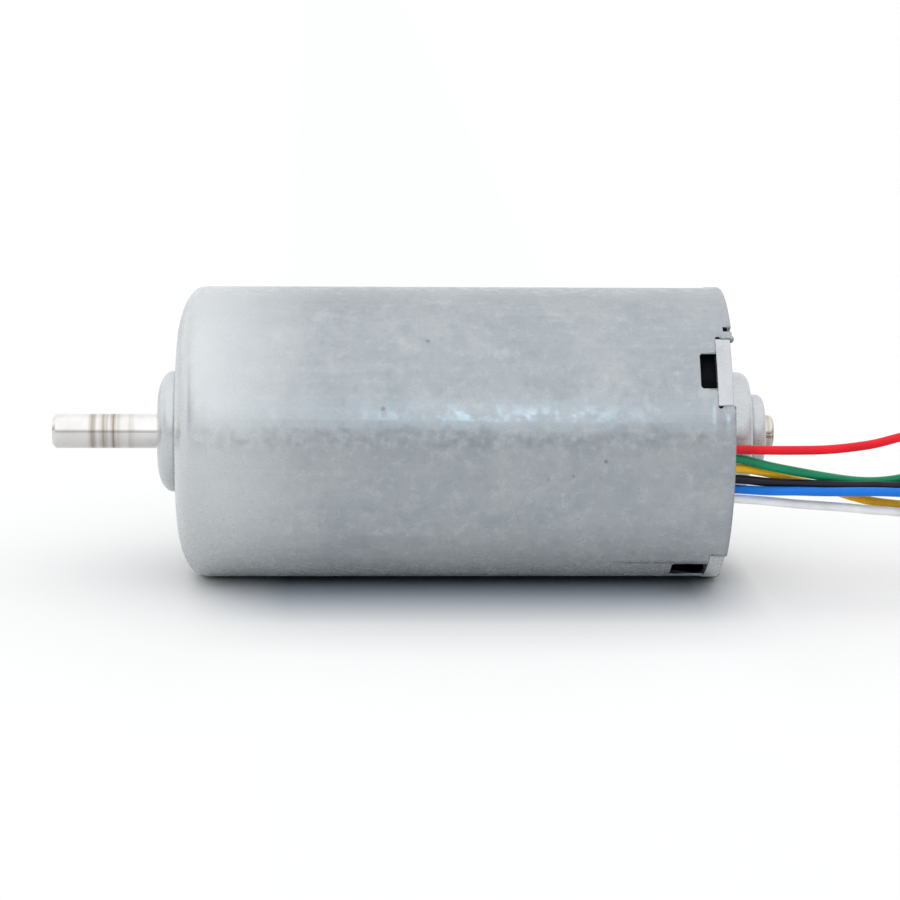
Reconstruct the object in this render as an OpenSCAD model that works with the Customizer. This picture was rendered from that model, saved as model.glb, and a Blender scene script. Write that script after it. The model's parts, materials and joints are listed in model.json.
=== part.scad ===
// Brushless DC motor lying on its side.
// The shaft axis is X. X = 0 is the mounting face of the can, and the output shaft points to -X.

/* [Can] */
// Outside diameter of the deep-drawn can
can_d = 42; // [38:0.5:56]
// Length of the can from its mounting face to its rim
can_l = 78.4; // [70:0.2:120]
// Thickness of the can's side wall
can_wall = 1.2; // [0.9:0.1:1.6]
// Thickness of the can's front wall
front_wall = 2; // [1.6:0.1:3]
// Outside radius between the side wall and the front face
corner_r = 4.6; // [2.6:0.1:4.8]
// Length of the flared band at the rim
flare_l = 2.5; // [1.8:0.1:3]
// Length over which the wall climbs to the flared band
flare_run = 0.8; // [0.4:0.1:1.2]
// How far the flared band stands out
flare_h = 0.15; // [0.1:0.05:0.3]
// Rounding of the rim's outer edge
rim_edge_r = 0.35; // [0.2:0.05:0.5]

/* [Front boss] */
// Diameter of the front locating boss
boss_d = 17.5; // [16.5:0.1:22]
// Height of the front boss above the mounting face
boss_h = 2.8; // [2.4:0.1:4]
// Rounding of the front boss's outer edge
boss_edge_r = 1.2; // [0.6:0.1:1.4]
// Hollow rounding where a boss meets its face
boss_root_r = 0.4; // [0.2:0.1:0.8]
// Thickness of the front boss's end wall
boss_end_wall = 1; // [0.8:0.1:1.4]
// Hole that the shaft passes at the front
boss_hole_d = 7; // [6:0.1:8]

/* [Mounting holes] */
// Distance of the threaded holes' centres from the can's outside
mount_inset = 6.5; // [5.5:0.5:8]
// Core diameter of the M4 threads
mount_hole_d = 3.3; // [2.5:0.1:4.2]

/* [End cap] */
// Thickness of the end cap's plate
cap_t = 2.1; // [1.6:0.1:2.6]
// Depth of the end cap below the rim
rim_recess = 0.35; // [0.2:0.05:0.5]
// Gap between the end cap's plate and the can's wall
cap_gap = 0.05; // [0.02:0.01:0.1]
// Diameter of the rear boss
rear_boss_d = 17.5; // [16.5:0.1:22]
// Height of the rear boss above the end cap's plate
rear_boss_h = 4.65; // [4.3:0.05:6]
// Thickness of the rear boss's end wall
rear_boss_wall = 1.2; // [1:0.1:1.6]
// Rounding of the rear boss's edge
rear_edge_r = 1.4; // [0.6:0.1:1.6]
// Diameter of the nose on the rear boss
nose_d = 11; // [10.6:0.1:13]
// Height of the nose on the rear boss
nose_h = 2.25; // [2:0.05:4]
// Thickness of the nose's wall
nose_wall = 1.2; // [0.8:0.1:1.2]
// Rounding of the nose's edge
nose_edge_r = 0.9; // [0.4:0.1:1.1]

/* [Ears and notches] */
// Angle of the ears from the lead outlet, and from the side across from it
ear_angle = 47.7; // [40:0.1:55]
// Width of each notch in the rim
notch_w = 10.4; // [8:0.1:12]
// Gap at each side of an ear in its notch
ear_gap = 0.05; // [0.02:0.01:0.2]
// Width of the window behind an ear
window_w = 5.4; // [4:0.1:7]
// Length of the short window
window_short = 2.35; // [1.5:0.05:4]
// Length of the long window
window_long = 5.1; // [4:0.1:7]
// Rounding in the windows' corners
window_r = 0.5; // [0.2:0.1:1]
// Radius of the relief cut in each notch corner
relief_r = 0.35; // [0.2:0.05:0.5]
// Width of the slit that frees each crimp finger
slit_w = 0.85; // [0.5:0.05:1.2]
// Depth of the slit that frees each crimp finger
slit_depth = 1.2; // [0.8:0.1:2]
// Width of each crimp finger
finger_w = 1.3; // [1:0.1:2]
// Radius of the upset tip on each crimp finger
nub_r = 0.58; // [0.4:0.02:0.6]

/* [Shaft] */
// Diameter of the shaft
shaft_d = 5; // [4:0.1:5.5]
// How far the shaft stands out of the mounting face
shaft_front = 18; // [10:0.5:40]
// How far the shaft stands out of the rear nose
shaft_rear = 1.6; // [1:0.1:6]
// Depth of the grinding relief between the output end and the front bearing's seat
relief_groove_depth = 0.25; // [0.2:0.05:0.4]
// How far the grinding relief starts ahead of the boss
relief_groove_lead = 0.3; // [0.2:0.1:1]
// Chamfer at the shaft's front end
shaft_chamfer = 0.5; // [0.2:0.1:1]
// Rounding at the shaft's rear end
shaft_round = 0.7; // [0.2:0.1:1.2]
// Diameter of the centre hole in each end of the shaft
centre_hole_d = 1.5; // [0.8:0.1:2]
// Width of the retaining clip's groove
clip_groove_w = 0.65; // [0.5:0.05:0.8]
// Depth of the retaining clip's groove
clip_groove_depth = 0.3; // [0.2:0.05:0.5]

/* [Bearings] */
// Outside diameter of both ball bearings
bearing_d = 14; // [13:0.1:14.6]
// Width of both ball bearings
bearing_w = 5; // [4:0.1:5.5]
// Number of balls in each bearing
ball_count = 8; // [6:1:8]
// Running clearance between balls and races
race_gap = 0.03; // [0.02:0.01:0.05]
// Thickness of the bearing shields
shield_t = 0.3; // [0.2:0.05:0.4]
// Room for the wave washer behind the rear bearing
washer_room = 0.5; // [0.4:0.05:0.8]
// Thickness of the wave washer's strip
washer_t = 0.2; // [0.1:0.05:0.25]

/* [Rotor] */
// Radial thickness of the magnets
magnet_t = 3.95; // [2:0.05:4.2]
// Number of magnets
poles = 6; // [4:2:8]
// Gap between two magnets
magnet_gap = 1; // [0.6:0.1:2]
// Thickness of the sleeve round the magnets
sleeve_t = 0.25; // [0.15:0.05:0.5]
// Gap between sleeve and stator teeth
air_gap = 0.6; // [0.4:0.05:1]
// How far the magnets run past the stator core at each end
rotor_over = 1; // [0.5:0.5:3]
// Thickness of the balance rings
balance_t = 2.5; // [1.5:0.1:4]
// Step from the magnets' outside down to the balance rings
balance_step = 1.45; // [0.5:0.05:3]

/* [Stator] */
// Number of stator teeth
teeth = 9; // [9:3:9]
// Room between the can's front wall and the stator core
front_room = 16; // [12:0.5:24]
// Width of a tooth
tooth_w = 4.2; // [3.5:0.1:4.4]
// Thickness of the ring behind the teeth
yoke_t = 3.2; // [2.6:0.1:4]
// Depth of the slots between the ring and the pole shoes
slot_depth = 3.6; // [3:0.1:4.6]
// Thickness of the pole shoe on a tooth
shoe_t = 1.2; // [1:0.1:1.4]
// Opening between two pole shoes
slot_opening = 2; // [1.6:0.1:2.6]
// Radius of the three alignment grooves in the core's outside
core_groove_r = 0.8; // [0.5:0.1:1.2]
// Thickness of the insulation beside a tooth
liner_t = 0.4; // [0.3:0.05:0.5]
// Thickness of the insulation on a tooth's end
end_liner_t = 0.8; // [0.6:0.1:1]
// Height of the insulator's outer wall above the core
insulator_h = 6.5; // [5.5:0.1:7.5]
// Thickness of the insulator's outer wall
insulator_wall = 1; // [0.8:0.1:1.4]
// Thickness of the slot wedges
wedge_t = 0.4; // [0.3:0.1:0.6]
// Gap between two neighbouring coils, to each side of the slot's middle
coil_gap = 0.3; // [0.2:0.05:0.5]

/* [Electronics] */
// Room between the circuit board's front face and the end cap
board_room = 12.75; // [12:0.25:16]
// Room between the stator core and the circuit board
rear_room = 11.2; // [10.5:0.1:16]
// Thickness of the circuit board
board_t = 1.6; // [1:0.1:2]
// Hole in the middle of the circuit board
board_hole_d = 13; // [12:0.5:14]
// Gap between the board carrier and the can
carrier_gap = 0.2; // [0.1:0.05:0.4]
// Thickness of the board carrier's wall
carrier_wall = 1.5; // [1:0.1:1.8]
// Width of the ledge that the circuit board lies on
ledge_w = 1.2; // [0.8:0.1:1.4]
// Height of the ledge that the circuit board lies on
ledge_t = 2; // [1.2:0.1:3]
// Thread diameter of the board screws
screw_d = 2; // [1.6:0.1:2.2]
// Head diameter of the board screws
screw_head_d = 3.4; // [3:0.1:3.6]
// Length of a board screw below its head
screw_l = 5; // [4:0.5:6]
// Diameter of a phase pin
pin_d = 0.9; // [0.7:0.1:1]
// Diameter of a supply capacitor
capacitor_d = 8; // [6:0.2:8]
// Height of a supply capacitor
capacitor_h = 9; // [6:0.5:9.5]

/* [Leads] */
// Outside diameter of a lead
lead_d = 1.3; // [1:0.05:1.45]
// Spacing of the leads where they leave the cap
lead_pitch = 1.55; // [1.5:0.05:1.7]
// Distance of the row of leads from the can's inner wall
lead_inset = 5; // [4.2:0.1:6]
// Rubber left round the leads in the grommet
grommet_edge = 0.8; // [0.5:0.05:1]
// Thickness and overlap of the grommet's inner flange
grommet_flange = 0.7; // [0.4:0.1:1]
// Diameter of a lead's bare, tinned end
tip_d = 0.6; // [0.4:0.05:0.8]
// Length of a lead's bare, tinned end
tip_l = 5; // [3:0.5:8]
// Thickness of the tie round the hank
tie_t = 0.5; // [0.3:0.05:0.6]
// Width of the tie round the hank
tie_w = 3; // [2:0.5:5]

/* [Hidden] */
$fn = 72;
// Angle that the motor is rolled to about its axis as it lies
lie_turn = -77.6;
// Overrun of every cut
over = 0.5;
can_r = can_d / 2;
can_in_r = can_r - can_wall;
mount_circle_r = can_r - mount_inset;
lead_circle_r = can_in_r - lead_inset;
rim_r = can_r + flare_h;
boss_r = boss_d / 2;
rear_boss_r = rear_boss_d / 2;
nose_r = nose_d / 2;
nose_in_r = nose_r - nose_wall;
shaft_r = shaft_d / 2;
bearing_r = bearing_d / 2;
// Ears: angle, length of the window behind, side that the crimp finger is on
ears = [
    [-ear_angle, window_short, -1],
    [ear_angle, window_long, 1],
    [180 - ear_angle, window_short, -1],
    [180 + ear_angle, window_long, 1]
];
notch_depth = rim_recess + cap_t;
nub_y = notch_w / 2 + finger_w / 6;
nub_x = sqrt(pow(rim_r - nub_r, 2) - pow(nub_y, 2));
nub_h = rim_recess + finger_w / 5;

// Places along the axis
cap_out_z = can_l - rim_recess;
cap_in_z = cap_out_z - cap_t;
seat_front_z = boss_end_wall - boss_h;
seat_relief = boss_end_wall / 3;
front_bearing_z = seat_front_z;
rear_boss_z = cap_out_z + rear_boss_h;
seat_rear_z = rear_boss_z - rear_boss_wall;
rear_bearing_z = seat_rear_z - washer_room - bearing_w;
nose_z = rear_boss_z + nose_h;
board_z = cap_in_z - board_room;
core_z0 = front_wall + front_room;
core_z1 = board_z - rear_room;
core_mid_z = (core_z0 + core_z1) / 2;
rotor_z0 = core_z0 - rotor_over;
rotor_z1 = core_z1 + rotor_over;
board_top_z = board_z + board_t;

// Bearings: what a bearing is made of, as shares of the room between its bore and its outside
ball_share = 0.53;
shoulder_share = 0.29;
cage_share = 0.1;
ring_room = bearing_r - shaft_r;
pitch_r = (bearing_r + shaft_r) / 2;
ball_r = ball_share * ring_room / 2;
inner_shoulder_r = shaft_r + shoulder_share * ring_room;
outer_shoulder_r = bearing_r - shoulder_share * ring_room;
cage_half_t = cage_share * ring_room;
shield_gap = 0.3;
shield_inset = 0.15;
shield_in_r = inner_shoulder_r + shield_gap;
shield_out_r = outer_shoulder_r + shield_gap;

// Retaining clip
clip_gap = 0.05;
clip_z = rear_bearing_z + bearing_w + clip_gap;
clip_t = clip_groove_w - clip_gap;
clip_r = nose_in_r - shield_gap;
clip_in_r = shaft_r - clip_groove_depth;

// Stator and rotor, each ring sized inwards from the can
yoke_in_r = can_in_r - yoke_t;
shoe_r = yoke_in_r - slot_depth;
bore_r = shoe_r - shoe_t;
sleeve_r = bore_r - air_gap;
magnet_r = sleeve_r - sleeve_t;
rotor_core_r = magnet_r - magnet_t;
rib_gap = 0.05;
rib_h = magnet_gap;
core_hole_share = 0.22;
core_hole_r = core_hole_share * (rotor_core_r - shaft_r);
balance_r = magnet_r - balance_step;
pit_share = 0.17;
balance_pit_r = pit_share * (balance_r - shaft_r);
balance_pit_depth = 1.5;
spacer_r = inner_shoulder_r - rib_gap;
sensor_gap = 0.8;
hall_t = 1.4;
sensor_magnet_t = 3;
sensor_magnet_r = 8;
sensor_z1 = board_z - hall_t - sensor_gap;
sensor_hub_wall = 1.7;
sensor_hub_r = shaft_r + sensor_hub_wall;

// Stator
slot_angle = 360 / teeth;
wedge_w = slot_opening + 4 * liner_t;
wedge_x = sqrt(pow(shoe_r, 2) - pow(slot_opening / 2, 2));
coil_r0 = shoe_r + wedge_t + rib_gap;
coil_r1 = yoke_in_r - 2 * coil_gap;
coil_layers = 3;
coil_layer_t = (coil_r1 - coil_r0) / coil_layers;
coil_in_w = tooth_w + 2 * liner_t;
coil_in_l = core_z1 - core_z0 + 2 * end_liner_t;
function coil_half_w(r) = min(
    r * tan(slot_angle / 2) - coil_gap,
    sqrt(pow(yoke_in_r, 2) - pow(r + coil_layer_t, 2)) - coil_gap
);
liner_l = (core_z1 - core_z0) / 2;
inner_lip_t = 0.8;
inner_lip_h = insulator_h - 1.5 * inner_lip_t;
pad_h = 2;
pad_w = 2.4;
pin_circle_r = yoke_in_r - pin_d / 2 - insulator_wall / 4;
pin_angles = [88, 100, 112];
pin_over = 1.2;

// Electronics
carrier_r = can_in_r - carrier_gap;
carrier_in_r = carrier_r - carrier_wall;
carrier_z0 = core_z1 + insulator_h;
board_gap = 0.2;
board_r = carrier_in_r - board_gap;
post_r = screw_d;
screw_circle_r = carrier_in_r - screw_d - board_gap - rib_gap;
screw_angles = [60, 180, 300];
screw_head_h = 1.3;
screw_slot = 0.4;
// Parts on the board lie between its hole and the heads of its screws
part_room = screw_circle_r - screw_head_d / 2 - board_hole_d / 2;
part_circle_share = 0.6;
part_circle_r = board_hole_d / 2 + part_room * part_circle_share;
transistor_angles = [30, 60, 90, -30, -60, -90];
transistor_shares = [0.6, 0.49];
transistor_size = [transistor_shares[0] * part_room, transistor_shares[1] * part_room, 1.4];
transistor_leg_t = 0.4;
transistor_tab = [
    transistor_size[0] + 2 * transistor_leg_t, transistor_size[1] - 2 * transistor_leg_t, transistor_leg_t
];
hall_angles = [140, 180, 220];
hall_size = [1.6, 4, hall_t];
chip_share = 0.78;
chip_size = [chip_share * part_room, chip_share * part_room, 1.2];
chip_leg_t = 0.3;
capacitor_angles = [130, 230];
capacitor_groove_r = 0.35;
capacitor_base_t = 1;

// Leads, in the order of the row, from the top of the row down
lead_count = 6;
lead_r = lead_d / 2;
slot_w = (lead_count - 1) * lead_pitch + lead_d + 2 * grommet_edge;
slot_h = lead_d + 2 * grommet_edge;
function lead_y(k) = (k - (lead_count - 1) / 2) * lead_pitch;
function laid(p) =
    let (y = p[1], z = -p[0])
    [p[2], y * cos(lie_turn) - z * sin(lie_turn), y * sin(lie_turn) + z * cos(lie_turn)];
function lead_exit(k) = laid([lead_circle_r, lead_y(k), cap_out_z]);

// Routes of the leads from the cap to the hank, as the motor lies, chosen by hand
red_route = [
    [80, -15.3, 0.5], [84, -15.3, 0.4], [88, -15.3, 0.4], [92, -15.3, 0.5], [96, -15.3, 0.9],
    [99, -15.3, 1.4], [102, -15.3, 2.2], [106, -14.9, 3.1], [110, -14, 2.9], [114, -12.9, 1.1],
    [118, -11.7, -2.2], [122, -10.5, -6.6], [126, -9.5, -10.6], [130, -9.1, -12.4]
];
green_route = [
    [80, -14.9, -1], [84, -14.8, -2], [88, -14.2, -2.9], [92, -13.2, -3.8], [96, -12.6, -4.5],
    [99, -12.4, -4.7], [102, -12.3, -4.5], [106, -12, -3.8], [110, -11.5, -3.4], [114, -11, -4.2],
    [118, -10.4, -6.4], [122, -9.9, -9.6], [126, -9.4, -12.6], [130, -9.1, -13.9]
];
yellow_route = [
    [80, -14.5, -2.4], [84, -13.5, -3.2], [88, -12.5, -4.5], [92, -12, -5.5], [96, -12, -6.8],
    [99, -12, -7.6], [102, -12.2, -8], [106, -12.1, -8.4], [110, -11.8, -9.4], [114, -11.3, -11.4],
    [118, -10.7, -14.1], [122, -10.1, -16.6], [126, -9.4, -18.1], [130, -9.1, -18.4]
];
black_route = [
    [80, -14.3, -4], [84, -14.4, -4.4], [88, -14.3, -4.6], [92, -14.2, -4.8], [96, -14, -5],
    [99, -13.8, -5], [102, -13.7, -5.1], [106, -13.4, -5], [110, -12.6, -5.2], [114, -11.8, -6.5],
    [118, -10.9, -9], [122, -10.1, -12], [126, -9.4, -14.4], [130, -9.1, -15.4]
];
blue_route = [
    [80, -14.1, -5.5], [84, -15.2, -5.5], [88, -15.3, -5.5], [92, -15.3, -5.6], [96, -15.2, -5.6],
    [99, -15.2, -5.6], [102, -15.1, -5.7], [106, -14.7, -6], [110, -13.8, -7], [114, -12.7, -8.9],
    [118, -11.5, -11.6], [122, -10.4, -14.4], [126, -9.5, -16.3], [130, -9.1, -16.9]
];
white_route = [
    [80, -13.6, -7], [84, -13.6, -7.3], [88, -13.6, -7.7], [92, -13.6, -8], [96, -13.6, -8.3],
    [99, -13.6, -8.6], [102, -13.6, -8.8], [106, -13.3, -9.5], [110, -12.6, -11.1], [114, -11.8, -13.8],
    [118, -10.9, -16.7], [122, -10.1, -18.8], [126, -9.4, -19.7], [130, -9.1, -19.9]
];
routes = [red_route, green_route, yellow_route, black_route, blue_route, white_route];
// Layer of each lead in the hank, counted from the surface
hank_layers = [5, 4, 1, 3, 2, 0];

// The hank: each lead winds inwards in a layer of its own, drawn in at the waist
hank_x = 142;
hank_y = -2.5;
hank_half_l = 13.5;
hank_half_w = 7.3;
hank_turns = 2;
waist_share = 0.2;
hank_gap = 0.45;
layer_gap = 0.2;
tie_gap = 0.1;
loop_steps = 24;
hank_sides = 6;
lead_sides = 8;
floor_z = -rim_r;
turn_pitch = lead_d + hank_gap;
layer_pitch = lead_d + layer_gap;
hank_z0 = floor_z + tie_t + tie_gap + lead_r;
waist_draw = 1 - waist_share;
hank_start = asin(sqrt(1 / (3 * waist_draw))) - 180;
function hank_z(k) = hank_z0 + hank_layers[k] * layer_pitch;
function hank_point(k, turn) =
    let (
        a = hank_start + 360 * turn,
        s = sin(a),
        run = [hank_half_l * cos(a), hank_half_w * s * (1 - waist_draw * s * s)],
        along = [-hank_half_l * s, hank_half_w * cos(a) * (1 - 3 * waist_draw * s * s)],
        out = [along[1], -along[0]] / norm(along),
        at = run + out * turn_pitch * (hank_turns - turn)
    )
    [hank_x + at[0], hank_y + at[1], hank_z(k)];
hank_steps = hank_turns * loop_steps;
// Each stripped end turns inwards, clear of the next turn of its own lead
tip_turn = 15;
function hank_points(k) = [for (i = [0:hank_steps]) hank_point(k, i / loop_steps)];
function lead_points(k) = concat([lead_exit(k)], routes[k], [hank_point(k, 0)]);
function unit(v) = v / norm(v);
// Direction of a path at each point: along X at the ends of a lead's free stretch
function path_dir(p, i) =
    i == 0 ? unit(p[1] - p[0]) : i == len(p) - 1 ? unit(p[i] - p[i - 1]) : unit(p[i + 1] - p[i - 1]);
function free_dir(p, i) = (i == 0 || i == len(p) - 1) ? [1, 0, 0] : path_dir(p, i);
function hank_dir(p, i) = i == 0 ? [1, 0, 0] : path_dir(p, i);
function path_length(p) = len(p) < 2 ? 0 : sum_steps(p, 1);
function sum_steps(p, i) = i == len(p) ? 0 : norm(p[i] - p[i - 1]) + sum_steps(p, i + 1);
// Least gap of a hank's tube to itself, measured between points half a loop or more apart
hank_self_gap = min([
    for (i = [0:hank_steps], j = [i + loop_steps / 2:1:hank_steps])
        norm(hank_points(0)[i] - hank_points(0)[j])
]) - lead_d;
lead_lengths = [for (k = [0:lead_count - 1]) path_length(lead_points(k)) + path_length(hank_points(k))];
echo(hank_self_gap = hank_self_gap);
echo(lead_lengths = lead_lengths);
waist_y0 = hank_point(0, (-90 - hank_start) / 360)[1] - lead_r - tie_gap;
waist_y1 = hank_point(0, (90 - hank_start) / 360)[1] + lead_r + tie_gap;
waist_z0 = floor_z + tie_t;
waist_z1 = hank_z(0) + lead_r + tie_gap;
tie_corner_r = 0.8;
tie_tail_l = 7;
tie_tail_turns = 1.5;

// Lays a piece drawn upright, along Z, on its side with its axis along X
module lie() rotate([lie_turn, 0, 0]) rotate([0, 90, 0]) children();

module ring_2d(r_in, r_out) difference() {
    circle(r_out);
    circle(r_in);
}

module tube(r_in, r_out, z0, z1) translate([0, 0, z0]) linear_extrude(z1 - z0) ring_2d(r_in, r_out);

// Half outline of a disc whose upper edge is rounded
module disc_2d(r, h, edge) {
    square([r - edge, h]);
    square([r, h - edge]);
    translate([r - edge, h - edge]) circle(edge);
}

// Hollow rounding between a boss of radius r and the face it stands on
module root_2d(r, fillet) difference() {
    translate([r - fillet, 0]) square([2 * fillet, fillet]);
    translate([r + fillet, fillet]) circle(fillet);
}

module rounded_2d(x0, y0, x1, y1, r) {
    translate([x0 + r, y0]) square([x1 - x0 - 2 * r, y1 - y0]);
    translate([x0, y0 + r]) square([x1 - x0, y1 - y0 - 2 * r]);
    for (x = [x0 + r, x1 - r], y = [y0 + r, y1 - r]) translate([x, y]) circle(r);
}

// Lead slot, long across the radius
module slot_2d(grow) translate([lead_circle_r, 0]) {
    for (s = [-1, 1]) translate([0, s * (slot_w - slot_h) / 2]) circle(slot_h / 2 + grow);
    square([slot_h + 2 * grow, slot_w - slot_h], center = true);
}

// Can
module can_2d() difference() {
    union() {
        translate([0, can_l]) mirror([0, 1]) disc_2d(can_r, can_l, corner_r);
        mirror([0, 1]) disc_2d(boss_r, boss_h, boss_edge_r);
        mirror([0, 1]) root_2d(boss_r, boss_root_r);
        polygon([
            [can_in_r, can_l - flare_l], [can_r, can_l - flare_l], [rim_r, can_l - flare_l + flare_run],
            [rim_r, can_l - rim_edge_r], [rim_r - rim_edge_r, can_l], [can_in_r, can_l]
        ]);
        translate([rim_r - rim_edge_r, can_l - rim_edge_r]) circle(rim_edge_r);
    }
    translate([0, can_l + over]) mirror([0, 1])
        disc_2d(can_in_r, can_l + over - front_wall, corner_r - can_wall);
    translate([0, seat_front_z]) square([bearing_r, front_wall - seat_front_z + over]);
    translate([0, seat_front_z - seat_relief]) square([outer_shoulder_r, seat_relief + over]);
    translate([0, -boss_h - over]) square([boss_hole_d / 2, boss_h + front_wall + over]);
}

// Notch in the rim with the window behind it, as depth below the rim against width
module notch_2d(window_l, side) {
    translate([-over, -notch_w / 2]) square([notch_depth + over, notch_w]);
    rounded_2d(notch_depth - 2 * window_r, -window_w / 2, notch_depth + window_l, window_w / 2, window_r);
    for (s = [-1, 1]) translate([notch_depth - relief_r, s * notch_w / 2]) circle(relief_r);
    translate([-over, side * (notch_w / 2 + finger_w + slit_w / 2) - slit_w / 2])
        square([slit_depth + over, slit_w]);
}

// Tip of a crimp finger, upset over the ear beside it
module crimp_finger(side) translate([nub_x, side * nub_y, cap_out_z + ear_gap]) {
    cylinder(r = nub_r, h = nub_h - nub_r);
    translate([0, 0, nub_h - nub_r]) sphere(nub_r);
}

module can() color([0.72, 0.75, 0.77]) lie() {
    difference() {
        rotate_extrude() can_2d();
        for (ear = ears)
            rotate(ear[0]) translate([can_in_r / 2, 0, can_l]) rotate([0, 90, 0])
                linear_extrude(can_r) notch_2d(ear[1], ear[2]);
        for (a = [90, 270])
            rotate(a) translate([mount_circle_r, 0, -over])
                cylinder(d = mount_hole_d, h = front_wall + 2 * over);
    }
    for (ear = ears) rotate(ear[0]) crimp_finger(ear[2]);
}

// End cap
module cap_plate_2d() difference() {
    union() {
        circle(can_in_r - cap_gap);
        for (ear = ears) intersection() {
            circle(rim_r - 2 * ear_gap);
            rotate(ear[0]) translate([can_in_r / 2, ear_gap - notch_w / 2])
                square([can_r, notch_w - 2 * ear_gap]);
        }
    }
    circle(bearing_r);
    slot_2d(0);
}

module cap_boss_2d() difference() {
    union() {
        translate([0, cap_in_z]) square([rear_boss_r, cap_t]);
        translate([0, cap_out_z]) {
            disc_2d(rear_boss_r, rear_boss_h, rear_edge_r);
            root_2d(rear_boss_r, boss_root_r);
        }
        translate([0, rear_boss_z]) {
            disc_2d(nose_r, nose_h, nose_edge_r);
            root_2d(nose_r, boss_root_r);
        }
    }
    translate([0, cap_in_z - over]) square([bearing_r, seat_rear_z - cap_in_z + over]);
    square([nose_in_r, nose_z - nose_wall]);
    square([shaft_r + shield_gap, nose_z + over]);
}

module end_cap() color([0.76, 0.78, 0.79]) lie() {
    translate([0, 0, cap_in_z]) linear_extrude(cap_t) cap_plate_2d();
    rotate_extrude() cap_boss_2d();
}

// Shaft
module shaft() color([0.85, 0.85, 0.86]) lie() rotate_extrude() difference() {
    union() {
        polygon([
            [0, -shaft_front], [shaft_r - shaft_chamfer, -shaft_front],
            [shaft_r, shaft_chamfer - shaft_front], [shaft_r, 0], [0, 0]
        ]);
        disc_2d(shaft_r, nose_z + shaft_rear, shaft_round);
    }
    translate([clip_in_r, clip_z]) square([shaft_r, clip_t]);
    translate([shaft_r - relief_groove_depth, -boss_h - relief_groove_lead])
        square([shaft_r, relief_groove_lead + boss_end_wall]);
    polygon([
        [0, -shaft_front - over],
        [centre_hole_d / 2 + over, -shaft_front - over],
        [0, centre_hole_d / 2 - shaft_front]
    ]);
    translate([0, nose_z + shaft_rear]) polygon([
        [0, -centre_hole_d / 2], [centre_hole_d / 2 + over, over], [0, over]
    ]);
}

// Ball bearing, drawn from z = 0 to its width
module race_2d() translate([pitch_r, bearing_w / 2]) circle(ball_r + race_gap);

module outer_ring() rotate_extrude() difference() {
    translate([outer_shoulder_r, 0]) square([bearing_r - outer_shoulder_r, bearing_w]);
    race_2d();
    for (z = [-over, bearing_w - shield_inset - shield_t])
        translate([outer_shoulder_r - over, z])
            square([shield_gap + over, shield_inset + shield_t + over]);
}

module inner_ring() rotate_extrude() difference() {
    translate([shaft_r, 0]) square([inner_shoulder_r - shaft_r, bearing_w]);
    race_2d();
}

module balls() for (i = [0:ball_count - 1])
    rotate(i * 360 / ball_count) translate([pitch_r, 0, bearing_w / 2]) sphere(ball_r);

module cage() difference() {
    tube(pitch_r - cage_half_t, pitch_r + cage_half_t,
        bearing_w / 2 - ball_r - cage_half_t, bearing_w / 2 + ball_r + cage_half_t);
    for (i = [0:ball_count - 1])
        rotate(i * 360 / ball_count) translate([pitch_r, 0, bearing_w / 2]) sphere(ball_r + 2 * race_gap);
}

module shields() for (z = [shield_inset, bearing_w - shield_inset - shield_t])
    tube(shield_in_r, shield_out_r, z, z + shield_t);

module at_front_bearing() lie() translate([0, 0, front_bearing_z]) children();
module at_rear_bearing() lie() translate([0, 0, rear_bearing_z]) children();

module front_bearing_outer_ring() color([0.7, 0.7, 0.72]) at_front_bearing() outer_ring();
module front_bearing_inner_ring() color([0.7, 0.7, 0.72]) at_front_bearing() inner_ring();
module front_bearing_balls() color([0.85, 0.85, 0.87]) at_front_bearing() balls();
module front_bearing_cage() color([0.6, 0.55, 0.4]) at_front_bearing() cage();
module front_bearing_shields() color([0.62, 0.62, 0.64]) at_front_bearing() shields();
module rear_bearing_outer_ring() color([0.7, 0.7, 0.72]) at_rear_bearing() outer_ring();
module rear_bearing_inner_ring() color([0.7, 0.7, 0.72]) at_rear_bearing() inner_ring();
module rear_bearing_balls() color([0.85, 0.85, 0.87]) at_rear_bearing() balls();
module rear_bearing_cage() color([0.6, 0.55, 0.4]) at_rear_bearing() cage();
module rear_bearing_shields() color([0.62, 0.62, 0.64]) at_rear_bearing() shields();

// Wave washer: a flat strip bent into three waves that press on the rear bearing
washer_waves = 3;
washer_steps = 36;
washer_out_r = bearing_r - rib_gap;
washer_in_r = outer_shoulder_r - rib_gap;
washer_swing = (washer_room - washer_t) / 2 - rib_gap / 2;
function washer_point(i, r, side) =
    let (a = i * 360 / washer_steps)
    [r * cos(a), r * sin(a), washer_swing * sin(washer_waves * a) + side * washer_t / 2];
washer_points = [
    for (i = [0:washer_steps - 1])
        each [
            washer_point(i, washer_in_r, -1), washer_point(i, washer_out_r, -1),
            washer_point(i, washer_out_r, 1), washer_point(i, washer_in_r, 1)
        ]
];
washer_faces = [
    for (i = [0:washer_steps - 1], j = [0:3])
        let (a = 4 * i, b = 4 * ((i + 1) % washer_steps), n = (j + 1) % 4)
        each [[a + j, a + n, b + j], [a + n, b + n, b + j]]
];
module wave_washer() color([0.5, 0.5, 0.52]) lie()
    translate([0, 0, seat_rear_z - washer_room / 2]) polyhedron(washer_points, washer_faces);

// Retaining clip, open on one side, with three prongs in the shaft's groove
clip_arms = 3;
clip_bite_w = 1.2;
module retaining_clip() color([0.3, 0.3, 0.32]) lie() translate([0, 0, clip_z]) linear_extrude(clip_t)
    difference() {
        union() {
            ring_2d(shaft_r + clip_groove_depth, clip_r);
            for (i = [0:clip_arms - 1]) rotate(60 + i * 60) translate([clip_in_r, -clip_bite_w / 2])
                square([clip_r - clip_in_r - clip_groove_depth, clip_bite_w]);
        }
        circle(clip_in_r);
        translate([-shaft_r, -clip_r - over]) square([shaft_d, clip_r + over]);
    }

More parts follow.
